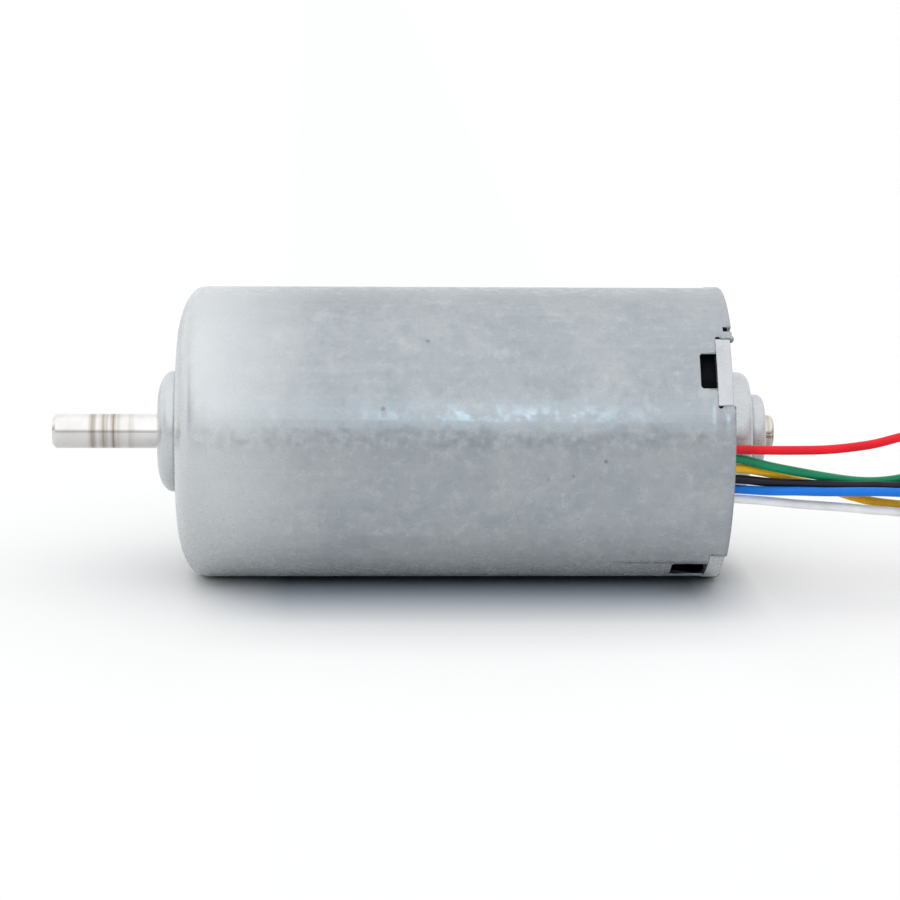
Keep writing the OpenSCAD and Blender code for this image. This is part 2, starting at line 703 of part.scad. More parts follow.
// Rotor
module rotor_core() color([0.5, 0.5, 0.53]) lie() translate([0, 0, rotor_z0])
    linear_extrude(rotor_z1 - rotor_z0) difference() {
        union() {
            circle(rotor_core_r);
            for (i = [0:poles - 1]) rotate(i * 360 / poles)
                translate([rotor_core_r - rib_h, -magnet_gap / 2 + rib_gap])
                    square([2 * rib_h, magnet_gap - 2 * rib_gap]);
        }
        circle(shaft_r);
        for (i = [0:poles - 1])
            rotate((i + 0.5) * 360 / poles)
                translate([(rotor_core_r + shaft_r) / 2, 0]) circle(core_hole_r);
    }

module rotor_magnets() color([0.35, 0.35, 0.37]) lie() translate([0, 0, rotor_z0])
    linear_extrude(rotor_z1 - rotor_z0) difference() {
        ring_2d(rotor_core_r, magnet_r);
        for (i = [0:poles - 1]) rotate(i * 360 / poles)
            translate([rotor_core_r - over, -magnet_gap / 2]) square([magnet_t + 2 * over, magnet_gap]);
    }

module magnet_sleeve() color([0.75, 0.75, 0.77]) lie() tube(magnet_r, sleeve_r, rotor_z0, rotor_z1);

// Balance ring with the pits that were drilled to balance the rotor
module balance_ring(z, face_z, pit_angles) difference() {
    tube(shaft_r, balance_r, z, z + balance_t);
    for (a = pit_angles) rotate(a)
        translate([balance_r - 2 * balance_pit_r, 0, face_z - balance_pit_depth])
            cylinder(r = balance_pit_r, h = 2 * balance_pit_depth);
}
module front_balance_ring() color([0.72, 0.6, 0.3]) lie()
    balance_ring(rotor_z0 - balance_t, rotor_z0 - balance_t, [20, 65]);
module rear_balance_ring() color([0.72, 0.6, 0.3]) lie()
    balance_ring(rotor_z1, rotor_z1 + balance_t, [200]);

module sensor_hub() color([0.72, 0.6, 0.3]) lie()
    tube(shaft_r, sensor_hub_r, rotor_z1 + balance_t, sensor_z1);
module sensor_magnet() color([0.25, 0.25, 0.27]) lie()
    tube(sensor_hub_r, sensor_magnet_r, sensor_z1 - sensor_magnet_t, sensor_z1);
module front_spacer() color([0.7, 0.7, 0.72]) lie()
    tube(shaft_r, spacer_r, front_bearing_z + bearing_w, rotor_z0 - balance_t);
module rear_spacer() color([0.7, 0.7, 0.72]) lie() tube(shaft_r, spacer_r, sensor_z1, rear_bearing_z);

// Stator
module stator_core() color([0.45, 0.46, 0.5]) lie() translate([0, 0, core_z0])
    linear_extrude(core_z1 - core_z0) difference() {
        union() {
            ring_2d(yoke_in_r, can_in_r);
            for (i = [0:teeth - 1]) rotate(i * slot_angle)
                translate([bore_r + shoe_t / 2, -tooth_w / 2])
                    square([yoke_in_r - bore_r, tooth_w]);
            difference() {
                ring_2d(bore_r, shoe_r);
                for (i = [0:teeth - 1]) rotate((i + 0.5) * slot_angle)
                    translate([bore_r - over, -slot_opening / 2]) square([shoe_t + 2 * over, slot_opening]);
            }
        }
        for (i = [0:2]) rotate(30 + i * 120) translate([can_in_r, 0]) circle(core_groove_r);
    }

// Bobbin half, drawn from the core's end at z = 0 outwards, with its liners in the slots
module insulator() {
    for (i = [0:teeth - 1]) rotate(i * slot_angle) {
        translate([bore_r + inner_lip_t / 2, -coil_in_w / 2, 0])
            cube([yoke_in_r - bore_r, coil_in_w, end_liner_t]);
        translate([0, 0, -liner_l]) linear_extrude(liner_l) intersection() {
            circle(yoke_in_r - rib_gap);
            for (s = [-1, 1]) translate([shoe_r, s * (coil_in_w - liner_t) / 2 - liner_t / 2])
                square([yoke_in_r - shoe_r, liner_t]);
        }
    }
    tube(yoke_in_r, yoke_in_r + insulator_wall, 0, insulator_h);
    difference() {
        tube(bore_r, bore_r + inner_lip_t, 0, inner_lip_h);
        for (i = [0:teeth - 1]) rotate((i + 0.5) * slot_angle)
            translate([bore_r - over, -slot_opening, -over])
                cube([inner_lip_t + 2 * over, 2 * slot_opening, inner_lip_h + 2 * over]);
    }
}
module front_insulator() color([0.9, 0.88, 0.8]) lie()
    translate([0, 0, core_z0]) mirror([0, 0, 1]) insulator();
module rear_insulator() color([0.9, 0.88, 0.8]) lie() translate([0, 0, core_z1]) difference() {
    union() {
        insulator();
        for (a = pin_angles) rotate(a)
            translate([pin_circle_r - pad_w / 2, -pad_w / 2, insulator_h - pad_h])
                cube([yoke_in_r - pin_circle_r + (pad_w + insulator_wall) / 2, pad_w, pad_h]);
    }
    for (a = pin_angles) rotate(a)
        translate([pin_circle_r, 0, insulator_h - pad_h / 2]) cylinder(d = pin_d, h = pad_h);
}

module slot_wedges() color([0.8, 0.7, 0.5]) lie() for (i = [0:teeth - 1]) rotate((i + 0.5) * slot_angle)
    translate([wedge_x, -wedge_w / 2, core_z0]) cube([wedge_t, wedge_w, core_z1 - core_z0]);

// Coil round one tooth: each layer is as wide as the slot lets it be there
module coil() for (i = [0:coil_layers - 1]) {
    r = coil_r0 + i * coil_layer_t;
    t = coil_half_w(r) - coil_in_w / 2;
    translate([r, 0, core_mid_z]) rotate([0, 90, 0]) linear_extrude(coil_layer_t) difference() {
        rounded_2d(-coil_in_l / 2 - t, -coil_in_w / 2 - t, coil_in_l / 2 + t, coil_in_w / 2 + t, t);
        square([coil_in_l, coil_in_w], center = true);
    }
}
module phase_coils(phase) color([0.72, 0.42, 0.2]) lie()
    for (i = [phase:3:teeth - 1]) rotate(i * slot_angle) coil();
module phase_u_coils() phase_coils(0);
module phase_v_coils() phase_coils(1);
module phase_w_coils() phase_coils(2);

module phase_pins() color([0.8, 0.75, 0.6]) lie() for (a = pin_angles) rotate(a)
    translate([pin_circle_r, 0, carrier_z0 - pad_h / 2])
        cylinder(d = pin_d, h = board_top_z + pin_over - carrier_z0 + pad_h / 2);

// Electronics
module board_carrier() color([0.08, 0.08, 0.09]) lie() difference() {
    union() {
        tube(carrier_in_r, carrier_r, carrier_z0, cap_in_z);
        tube(carrier_in_r - ledge_w, carrier_in_r + carrier_wall / 2, board_z - ledge_t, board_z);
        for (a = screw_angles) rotate(a) translate([screw_circle_r, 0, carrier_z0])
            cylinder(r = post_r, h = board_z - carrier_z0);
    }
    for (a = screw_angles) rotate(a) translate([screw_circle_r, 0, board_top_z - screw_l])
        cylinder(d = screw_d, h = screw_l);
}

module circuit_board() color([0.05, 0.35, 0.15]) lie() translate([0, 0, board_z]) linear_extrude(board_t)
    difference() {
        circle(board_r);
        circle(d = board_hole_d);
        for (a = screw_angles) rotate(a) translate([screw_circle_r, 0]) circle(d = screw_d);
        for (a = pin_angles) rotate(a) translate([pin_circle_r, 0]) circle(d = pin_d);
    }

module board_screws() color([0.75, 0.75, 0.77]) lie() for (a = screw_angles) rotate(a)
    translate([screw_circle_r, 0, board_top_z]) difference() {
        union() {
            translate([0, 0, -screw_l]) cylinder(d = screw_d, h = screw_l);
            rotate_extrude() disc_2d(screw_head_d / 2, screw_head_h, screw_slot);
        }
        for (turn = [0, 90]) rotate(turn) translate([-screw_d / 2, -screw_slot / 2, screw_head_h / 2])
            cube([screw_d, screw_slot, screw_head_h]);
    }

module hall_sensors() color([0.1, 0.1, 0.1]) lie() for (a = hall_angles) rotate(a)
    translate([board_hole_d / 2 + board_gap, -hall_size[1] / 2, board_z - hall_size[2]]) cube(hall_size);

module power_transistors() color([0.12, 0.12, 0.13]) lie() for (a = transistor_angles) rotate(a)
    translate([part_circle_r, 0, board_top_z]) {
        translate([-transistor_size[0] / 2, -transistor_size[1] / 2, 0]) cube(transistor_size);
        translate([-transistor_tab[0] / 2, -transistor_tab[1] / 2, 0]) cube(transistor_tab);
    }

module controller_chip() color([0.1, 0.1, 0.11]) lie() rotate(180)
    translate([board_hole_d / 2 + board_gap + chip_leg_t + chip_size[0] / 2, 0, board_top_z]) {
        translate([-chip_size[0] / 2, -chip_size[1] / 2, 0]) cube(chip_size);
        for (s = [-1, 1], i = [-2:2])
            translate([3 * i * chip_leg_t - chip_leg_t / 2, s * chip_size[1] / 2 - chip_leg_t, 0])
                cube([chip_leg_t, 2 * chip_leg_t, chip_leg_t]);
    }

module supply_capacitors() color([0.6, 0.62, 0.65]) lie() for (a = capacitor_angles) rotate(a)
    translate([part_circle_r, 0, board_top_z]) rotate_extrude() difference() {
        disc_2d(capacitor_d / 2, capacitor_h, capacitor_groove_r);
        translate([capacitor_d / 2, capacitor_base_t + capacitor_groove_r]) circle(capacitor_groove_r);
    }

// Leads
module inner_leads() color([0.5, 0.5, 0.5]) lie() for (k = [0:lead_count - 1])
    translate([lead_circle_r, lead_y(k), board_top_z]) cylinder(d = lead_d, h = cap_out_z - board_top_z);

module lead_grommet() color([0.06, 0.06, 0.06]) lie() difference() {
    union() {
        translate([0, 0, cap_in_z]) linear_extrude(cap_t) slot_2d(0);
        translate([0, 0, cap_in_z - grommet_flange]) linear_extrude(grommet_flange) slot_2d(grommet_flange);
    }
    for (k = [0:lead_count - 1]) translate([lead_circle_r, lead_y(k), cap_in_z - grommet_flange - over])
        cylinder(d = lead_d, h = cap_t + grommet_flange + 2 * over);
}

// Tube of flat triangles along points; dirs are its directions and up is a vector none of them lies along
module sweep(points, dirs, up, r, sides) {
    rings = [
        for (i = [0:len(points) - 1])
            let (u = unit(cross(up, dirs[i])), v = cross(dirs[i], u))
            for (j = [0:sides - 1])
                let (a = (j + 0.5) * 360 / sides)
                points[i] + r * (cos(a) * u + sin(a) * v)
    ];
    last = (len(points) - 1) * sides;
    walls = [
        for (i = [0:len(points) - 2], j = [0:sides - 1])
            let (a = i * sides + j, b = i * sides + (j + 1) % sides)
            each [[a, a + sides, b], [b, a + sides, b + sides]]
    ];
    polyhedron(rings, concat(
        walls,
        [[for (j = [0:sides - 1]) j]],
        [[for (j = [sides - 1:-1:0]) last + j]]
    ));
}

module free_lead(k) {
    p = lead_points(k);
    sweep(p, [for (i = [0:len(p) - 1]) free_dir(p, i)], [0, 1, 0], lead_r, lead_sides);
}
module red_lead() color([0.87, 0.14, 0.2]) free_lead(0);
module green_lead() color([0.08, 0.55, 0.4]) free_lead(1);
module yellow_lead() color([0.93, 0.76, 0.26]) free_lead(2);
module black_lead() color([0.1, 0.11, 0.17]) free_lead(3);
module blue_lead() color([0.13, 0.52, 0.9]) free_lead(4);
module white_lead() color([0.93, 0.93, 0.92]) free_lead(5);

module lead_hank(k) {
    p = hank_points(k);
    sweep(p, [for (i = [0:len(p) - 1]) hank_dir(p, i)], [0, 0, 1], lead_r, hank_sides);
}
module red_hank() color([0.87, 0.14, 0.2]) lead_hank(0);
module green_hank() color([0.08, 0.55, 0.4]) lead_hank(1);
module yellow_hank() color([0.93, 0.76, 0.26]) lead_hank(2);
module black_hank() color([0.1, 0.11, 0.17]) lead_hank(3);
module blue_hank() color([0.13, 0.52, 0.9]) lead_hank(4);
module white_hank() color([0.93, 0.93, 0.92]) lead_hank(5);

module lead_tips() color([0.8, 0.8, 0.8]) for (k = [0:lead_count - 1]) {
    p = hank_points(k);
    d = hank_dir(p, hank_steps);
    translate(p[hank_steps]) rotate([0, 90, atan2(d[1], d[0]) + tip_turn]) cylinder(d = tip_d, h = tip_l);
}

// Tie: a flat strip round the hank's waist, its two ends twisted together on top
module hank_tie() color([0.1, 0.1, 0.1]) {
    translate([hank_x - tie_w / 2, 0, 0]) rotate([90, 0, 90]) linear_extrude(tie_w) difference() {
        rounded_2d(waist_y0 - tie_t, floor_z, waist_y1 + tie_t, waist_z1 + tie_t, tie_corner_r + tie_t);
        rounded_2d(waist_y0, waist_z0, waist_y1, waist_z1, tie_corner_r);
    }
    translate([hank_x, hank_y, waist_z1 + tie_t / 2 + tie_w / 4]) rotate([0, 90, 0])
        linear_extrude(tie_tail_l, twist = 360 * tie_tail_turns, slices = 14, $fn = 4)
            square([tie_w / 2, 2 * tie_t], center = true);
}

can();
end_cap();
shaft();
front_bearing_outer_ring();
front_bearing_inner_ring();
front_bearing_balls();
front_bearing_cage();
front_bearing_shields();
rear_bearing_outer_ring();
rear_bearing_inner_ring();
rear_bearing_balls();
rear_bearing_cage();
rear_bearing_shields();
wave_washer();
retaining_clip();
rotor_core();
rotor_magnets();
magnet_sleeve();
front_balance_ring();
rear_balance_ring();
sensor_hub();
sensor_magnet();
front_spacer();
rear_spacer();
stator_core();
front_insulator();
rear_insulator();
slot_wedges();
phase_u_coils();
phase_v_coils();
phase_w_coils();
phase_pins();
board_carrier();
circuit_board();
hall_sensors();
power_transistors();
controller_chip();
supply_capacitors();
board_screws();
inner_leads();
lead_grommet();
red_lead();
green_lead();
yellow_lead();
black_lead();
blue_lead();
white_lead();
red_hank();
green_hank();
yellow_hank();
black_hank();
blue_hank();
white_hank();
lead_tips();
hank_tie();
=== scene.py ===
import json
import math
import bmesh
import bpy
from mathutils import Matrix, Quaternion, Vector


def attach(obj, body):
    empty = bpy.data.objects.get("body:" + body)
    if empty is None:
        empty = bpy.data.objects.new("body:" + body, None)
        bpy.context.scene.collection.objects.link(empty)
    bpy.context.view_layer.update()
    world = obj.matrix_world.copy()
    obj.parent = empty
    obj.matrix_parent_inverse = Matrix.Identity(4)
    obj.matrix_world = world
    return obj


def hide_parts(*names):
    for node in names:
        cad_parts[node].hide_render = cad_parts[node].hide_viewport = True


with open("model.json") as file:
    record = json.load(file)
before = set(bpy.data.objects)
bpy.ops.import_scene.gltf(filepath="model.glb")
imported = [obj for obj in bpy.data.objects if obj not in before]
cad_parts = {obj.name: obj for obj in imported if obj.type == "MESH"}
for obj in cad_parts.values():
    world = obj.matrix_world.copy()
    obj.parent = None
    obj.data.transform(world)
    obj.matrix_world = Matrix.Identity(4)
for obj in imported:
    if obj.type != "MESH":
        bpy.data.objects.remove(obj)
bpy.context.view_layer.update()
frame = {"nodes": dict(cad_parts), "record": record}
nodes = frame["nodes"]
mm = 0.001
print("frame loaded:", len(nodes), "nodes")


# Helpers for shader nodes
def feed(tree, socket, value):
    # a link where the value comes from another node, else a plain value
    if isinstance(value, bpy.types.NodeSocket):
        tree.links.new(value, socket)
    else:
        socket.default_value = value


def addNode(tree, kind, inputs=None, **settings):
    node = tree.nodes.new(kind)
    for key, value in settings.items():
        setattr(node, key, value)
    for key, value in (inputs or {}).items():
        feed(tree, node.inputs[key], value)
    return node


def toLinear(rgb):
    # sRGB bytes, as a colour picker gives them, to the shader's linear colour
    out = []
    for v in rgb:
        v = v / 255
        out.append(v / 12.92 if v <= 0.04045 else ((v + 0.055) / 1.055) ** 2.4)
    return (*out, 1.0)


def shaded(rgb, share):
    return tuple(v * share for v in rgb)


def startMaterial(name):
    material = bpy.data.materials.new(name)
    material.use_nodes = True
    tree = material.node_tree
    return material, tree, tree.nodes["Principled BSDF"]


def objectPoint(tree, scale=(1, 1, 1), location=(0, 0, 0), rotation=(0, 0, 0)):
    coord = addNode(tree, "ShaderNodeTexCoord")
    return addNode(tree, "ShaderNodeMapping", {
        "Vector": coord.outputs["Object"], "Scale": scale, "Location": location, "Rotation": rotation,
    }).outputs["Vector"]


def noise(tree, point, scale, detail=3.0, roughness=0.55, distortion=0.0):
    return addNode(tree, "ShaderNodeTexNoise", {
        "Vector": point, "Scale": scale, "Detail": detail, "Roughness": roughness, "Distortion": distortion,
    }).outputs["Fac"]


def remap(tree, value, fromLow, fromHigh, toLow, toHigh):
    return addNode(tree, "ShaderNodeMapRange", {
        "Value": value, "From Min": fromLow, "From Max": fromHigh, "To Min": toLow, "To Max": toHigh,
    }).outputs["Result"]


def mixColor(tree, fac, a, b, blend="MIX"):
    node = tree.nodes.new("ShaderNodeMix")
    node.data_type = "RGBA"
    node.blend_type = blend
    for socket, value in ((node.inputs[0], fac), (node.inputs[6], a), (node.inputs[7], b)):
        feed(tree, socket, value)
    return node.outputs[2]


def math2(tree, operation, a, b=0.0):
    node = tree.nodes.new("ShaderNodeMath")
    node.operation = operation
    for socket, value in ((node.inputs[0], a), (node.inputs[1], b)):
        feed(tree, socket, value)
    return node.outputs[0]


def bump(tree, height, strength, distance, softEdge=0.0):
    inputs = {"Height": height, "Strength": strength, "Distance": distance}
    if softEdge:
        inputs["Normal"] = addNode(tree, "ShaderNodeBevel", {"Radius": softEdge}, samples=4).outputs["Normal"]
    return addNode(tree, "ShaderNodeBump", inputs).outputs["Normal"]


def levelRamp(tree, value, levels, stretch=1.0, tint=(0, 0, 0)):
    # brightness levels at distances, with a tint where they are low
    ramp = addNode(tree, "ShaderNodeValToRGB", {"Fac": value})
    stops = ramp.color_ramp.elements
    while len(stops) < len(levels):
        stops.new(0.5)
    for stop, (at, level) in zip(stops, levels):
        stop.position = at * stretch
        deep = max(0.0, 1.0 - level)
        stop.color = (*[level * (1 + t * deep) for t in tint], 1.0)
    return ramp.outputs["Color"]


# Camera, set up as the photograph was taken
camera = {"azimuth": -2.6, "elevation": 11.1, "distance": 0.441, "target": (0.03945, 0.0, 0.0),
          "lens": 121.3, "sensor": 36.0, "roll": 0.61, "shiftY": -0.0205, "clip": (0.01, 30.0)}


def makeCamera(c):
    a, e = math.radians(c["azimuth"]), math.radians(c["elevation"])
    back = Vector((math.sin(a) * math.cos(e), -math.cos(a) * math.cos(e), math.sin(e)))
    data = bpy.data.cameras.new("camera")
    data.sensor_width = c["sensor"]
    data.lens = c["lens"]
    data.shift_y = c["shiftY"]
    data.clip_start, data.clip_end = c["clip"]
    cam = bpy.data.objects.new("camera", data)
    bpy.context.scene.collection.objects.link(cam)
    cam.location = Vector(c["target"]) + back * c["distance"]
    cam.rotation_mode = "QUATERNION"
    look = (-back).to_track_quat("-Z", "Y")
    cam.rotation_quaternion = look @ Quaternion((0, 0, 1), math.radians(c["roll"]))
    bpy.context.scene.camera = cam


makeCamera(camera)


# Finishes
# The can's finish also paints light and shade: paler towards its front end (painted light), dark in its
# windows, and darker in its gaps and corners (painted shade)
canFinish = {"dark": (151, 158, 164), "light": (167, 172, 176), "pale": (184, 189, 191),
             "speck": (92, 94, 94), "cloudScale": 110, "spangleScale": 620, "spangleShade": 0.9,
             "spangleAmount": (0.5, 0.45), "dieLineScale": 900, "dieLineStretch": 0.05, "dieLineAmount": 0.15,
             "patchScale": 240, "patchPlace": (0.3, 0.1, 0.2), "patchAmount": 0.4, "speckScale": 150.0,
             "speckAmount": 0.5, "roughness": (0.17, 0.3), "glossScale": 620, "metallic": 0.62, "drawn": 0.8,
             "edge": 0.22 * mm, "grainScale": 2600, "grainShare": 0.12, "waveScale": 130,
             "waveStretch": 0.35, "relief": 0.14, "reliefHeight": 0.04 * mm, "near": (212, 216, 218),
             "frontLightReach": 24 * mm, "frontLightAmount": 0.75, "cut": (12, 15, 25),
             "cutRadii": (20.9 * mm, 20.82 * mm), "windows": (60 * mm, 77.9 * mm),
             "gapShade": (46, 49, 54), "gapShadeReach": 0.45 * mm, "gapShadeAmount": 0.8}


def axisRadius(tree, split):
    # distance from the motor's axis
    return math2(tree, "SQRT", math2(tree, "ADD", math2(tree, "POWER", split.outputs["Y"], 2.0),
                                     math2(tree, "POWER", split.outputs["Z"], 2.0)))


# Painted shade in the corners round the axis, where steps and rims meet, given as (x, radius, reach) in
# millimetres
cornerShade = {"color": (70, 74, 78), "amount": 0.75, "can": [(0.0, 8.75, 0.5), (78.4, 20.6, 0.5)],
        "cap": [(78.05, 8.75, 0.8), (82.7, 5.5, 0.7), (84.95, 2.6, 0.7), (78.05, 20.0, 0.6)]}


def paintCornerShade(tree, color, rings):
    split = addNode(tree, "ShaderNodeSeparateXYZ", {"Vector": objectPoint(tree)})
    radius = axisRadius(tree, split)
    mask = 0.0
    for x, r, reach in rings:
        dx = math2(tree, "SUBTRACT", split.outputs["X"], x * mm)
        dr = math2(tree, "SUBTRACT", radius, r * mm)
        squares = math2(tree, "ADD", math2(tree, "MULTIPLY", dx, dx), math2(tree, "MULTIPLY", dr, dr))
        away = math2(tree, "SQRT", squares)
        mask = math2(tree, "MAXIMUM", remap(tree, away, 0.0, reach * mm, cornerShade["amount"], 0), mask)
    return mixColor(tree, mask, color, toLinear(cornerShade["color"]))


def zincPlate(name, f, paintsLightAndShade, shadeRings):
    material, tree, shader = startMaterial(name)
    point = objectPoint(tree)
    clouds = remap(tree, noise(tree, point, f["cloudScale"], 5, 0.7, 0.4), 0.32, 0.68, 0, 1)
    color = mixColor(tree, clouds, toLinear(f["dark"]), toLinear(f["light"]))
    # spangle: fine grains of plating, lighter and darker
    spangle = noise(tree, point, f["spangleScale"], 3, 0.75)
    lighter, darker = f["spangleAmount"]
    color = mixColor(tree, remap(tree, spangle, 0.52, 0.74, 0, lighter), color, toLinear(f["pale"]))
    color = mixColor(tree, remap(tree, spangle, 0.46, 0.26, 0, darker), color,
                     toLinear(shaded(f["dark"], f["spangleShade"])))
    # draw lines left along the can by the die
    dieLines = noise(tree, objectPoint(tree, (f["dieLineStretch"], 1, 1)), f["dieLineScale"], 2, 0.5)
    color = mixColor(tree, remap(tree, dieLines, 0.5, 0.8, 0, f["dieLineAmount"]), color, toLinear(f["pale"]))
    # small worn patches and specks
    patch = noise(tree, objectPoint(tree, location=f["patchPlace"]), f["patchScale"], 3, 0.6)
    color = mixColor(tree, remap(tree, patch, 0.60, 0.72, 0, f["patchAmount"]), color, toLinear(f["pale"]))
    speck = addNode(tree, "ShaderNodeTexVoronoi", {
        "Vector": point, "Scale": f["speckScale"], "Randomness": 1.0})
    dots = remap(tree, speck.outputs["Distance"], 0.03, 0.06, f["speckAmount"], 0)
    color = mixColor(tree, dots, color, toLinear(f["speck"]))
    if paintsLightAndShade:
        # painted light: the can is painted paler towards its front end, where the light falls brighter
        split = addNode(tree, "ShaderNodeSeparateXYZ", {"Vector": point})
        near = addNode(tree, "ShaderNodeMapRange", {
            "Value": split.outputs["X"], "From Max": f["frontLightReach"], "To Min": f["frontLightAmount"], "To Max": 0.0,
        }, interpolation_type="SMOOTHSTEP").outputs["Result"]
        color = mixColor(tree, near, color, toLinear(f["near"]))
        # painted shade: the cut faces and the inner wall of the can in its windows are painted dark
        cut = remap(tree, axisRadius(tree, split), *f["cutRadii"], 0, 1)
        for edge, way in zip(f["windows"], ("GREATER_THAN", "LESS_THAN")):
            cut = math2(tree, "MULTIPLY", cut, math2(tree, way, split.outputs["X"], edge))
        color = mixColor(tree, cut, color, toLinear(f["cut"]))
    # painted shade in the corners round the axis
    color = paintCornerShade(tree, color, shadeRings)
    # painted shade: the colour is darkened in gaps, slits and corners, as far as ambient occlusion finds them
    gap = addNode(tree, "ShaderNodeAmbientOcclusion", {"Distance": f["gapShadeReach"]}, samples=8).outputs["AO"]
    color = mixColor(tree, remap(tree, gap, 0.35, 0.85, f["gapShadeAmount"], 0), color, toLinear(f["gapShade"]))
    tree.links.new(color, shader.inputs["Base Color"])
    shader.inputs["Metallic"].default_value = f["metallic"]
    shader.inputs["Anisotropic"].default_value = f["drawn"]
    tree.links.new(addNode(tree, "ShaderNodeTangent", direction_type="RADIAL", axis="X").outputs["Tangent"],
                   shader.inputs["Tangent"])
    rough = remap(tree, noise(tree, point, f["glossScale"], 2, 0.55), 0.38, 0.62, *f["roughness"])
    tree.links.new(rough, shader.inputs["Roughness"])
    grain = noise(tree, point, f["grainScale"], 3, 0.7)
    waves = noise(tree, objectPoint(tree, (f["waveStretch"], 1, 1)), f["waveScale"], 2, 0.5)
    height = math2(tree, "ADD", math2(tree, "MULTIPLY", grain, f["grainShare"]), waves)
    tree.links.new(bump(tree, height, f["relief"], f["reliefHeight"], f["edge"]), shader.inputs["Normal"])
    return material


# Ground and turned metal: clouds of tarnish, and grinding marks round the axis
ground = {"cloudScale": 300, "shade": 0.86, "markScale": 5200, "rubScale": 1900, "stretch": (1, 0.02, 0.02),
          "depth": 0.02 * mm}


def steel(name, color, roughness, rings=0.0, wearAndShade=None):
    material, tree, shader = startMaterial(name)
    point = objectPoint(tree)
    clouds = remap(tree, noise(tree, point, ground["cloudScale"], 3), 0.3, 0.7, 0, 0.5)
    base = mixColor(tree, clouds, toLinear(color), toLinear(shaded(color, ground["shade"])))
    if wearAndShade:
        # rub marks round the shaft, and painted shade on its rear end and that end's chamfer, as (x, half
        # width, amount) in millimetres, broken up finely along it
        x = addNode(tree, "ShaderNodeSeparateXYZ", {"Vector": point}).outputs["X"]
        mask = 0.0
        for at, half, amount in wearAndShade["rings"]:
            away = math2(tree, "ABSOLUTE", math2(tree, "SUBTRACT", x, at * mm))
            mask = math2(tree, "MAXIMUM", remap(tree, away, 0.0, half * mm, amount, 0), mask)
        fine = noise(tree, objectPoint(tree, ground["stretch"]), ground["rubScale"], 2, 0.6)
        mask = math2(tree, "MULTIPLY", mask, remap(tree, fine, 0.35, 0.6, 0.45, 1.2))
        base = mixColor(tree, mask, base, toLinear(wearAndShade["color"]))
    tree.links.new(base, shader.inputs["Base Color"])
    shader.inputs["Metallic"].default_value = 1.0
    marks = noise(tree, objectPoint(tree, ground["stretch"]), ground["markScale"], 2, 0.6)
    rough = remap(tree, marks, 0.3, 0.7, roughness * 0.8, roughness * 1.25)
    tree.links.new(rough, shader.inputs["Roughness"])
    if rings:
        tree.links.new(bump(tree, marks, rings, ground["depth"]), shader.inputs["Normal"])
    return material


# Moulded and pressed pieces: a little mottle, uneven gloss and a fine mould grain
moulded = {"mottleScale": 420, "glossScale": 900, "grainScale": 3800, "depth": 0.02 * mm}


def plastic(name, color, roughness, grain=0.15, specular=0.5, fleck=0.08):
    material, tree, shader = startMaterial(name)
    point = objectPoint(tree)
    mottle = remap(tree, noise(tree, point, moulded["mottleScale"], 3), 0.35, 0.65, 0, 1)
    base = mixColor(tree, mottle, toLinear(color), toLinear(shaded(color, 1 - fleck)))
    tree.links.new(base, shader.inputs["Base Color"])
    shader.inputs["Specular IOR Level"].default_value = specular
    gloss = noise(tree, point, moulded["glossScale"], 2)
    rough = remap(tree, gloss, 0.3, 0.7, roughness * 0.85, min(1.0, roughness * 1.2))
    tree.links.new(rough, shader.inputs["Roughness"])
    relief = noise(tree, point, moulded["grainScale"], 3, 0.6)
    tree.links.new(bump(tree, relief, grain, moulded["depth"]), shader.inputs["Normal"])
    return material


# Soft extruded insulation of the leads: uneven colour and gloss, and slow waves in its surface
jackets = {"red": (242, 5, 33), "green": (0, 140, 94), "yellow": (246, 188, 30), "black": (15, 17, 33),
           "blue": (3, 124, 234), "white": (250, 251, 249)}
extruded = {"mottleScale": 180, "shade": 0.9, "roughness": (0.336, 0.546), "glossScale": 700,
            "specular": 0.3, "subsurface": 0.04, "subsurfaceReach": (0.4 * mm, 0.3 * mm, 0.2 * mm),
            "waveScale": 1500, "relief": 0.2, "depth": 0.03 * mm}


def wireJacket(name, color, f):
    material, tree, shader = startMaterial(name)
    point = objectPoint(tree)
    mottle = remap(tree, noise(tree, point, f["mottleScale"], 2), 0.35, 0.65, 0, 1)
    base = mixColor(tree, mottle, toLinear(color), toLinear(shaded(color, f["shade"])))
    tree.links.new(base, shader.inputs["Base Color"])
    shader.inputs["Specular IOR Level"].default_value = f["specular"]
    shader.inputs["Subsurface Weight"].default_value = f["subsurface"]
    shader.inputs["Subsurface Radius"].default_value = f["subsurfaceReach"]
    rough = remap(tree, noise(tree, point, f["glossScale"], 3), 0.3, 0.7, *f["roughness"])
    tree.links.new(rough, shader.inputs["Roughness"])
    waves = noise(tree, point, f["waveScale"], 2)
    tree.links.new(bump(tree, waves, f["relief"], f["depth"]), shader.inputs["Normal"])
    return material


# Stacked sheets of the stator and rotor cores: fine lines across the motor's axis
stacked = {"color": (112, 116, 124), "pitch": 0.5 * mm, "shade": 0.8, "cloudScale": 260,
           "seam": (40, 38, 36), "metallic": 0.85, "roughness": (0.4, 0.6), "glossScale": 700,
           "relief": 0.4, "depth": 0.06 * mm}


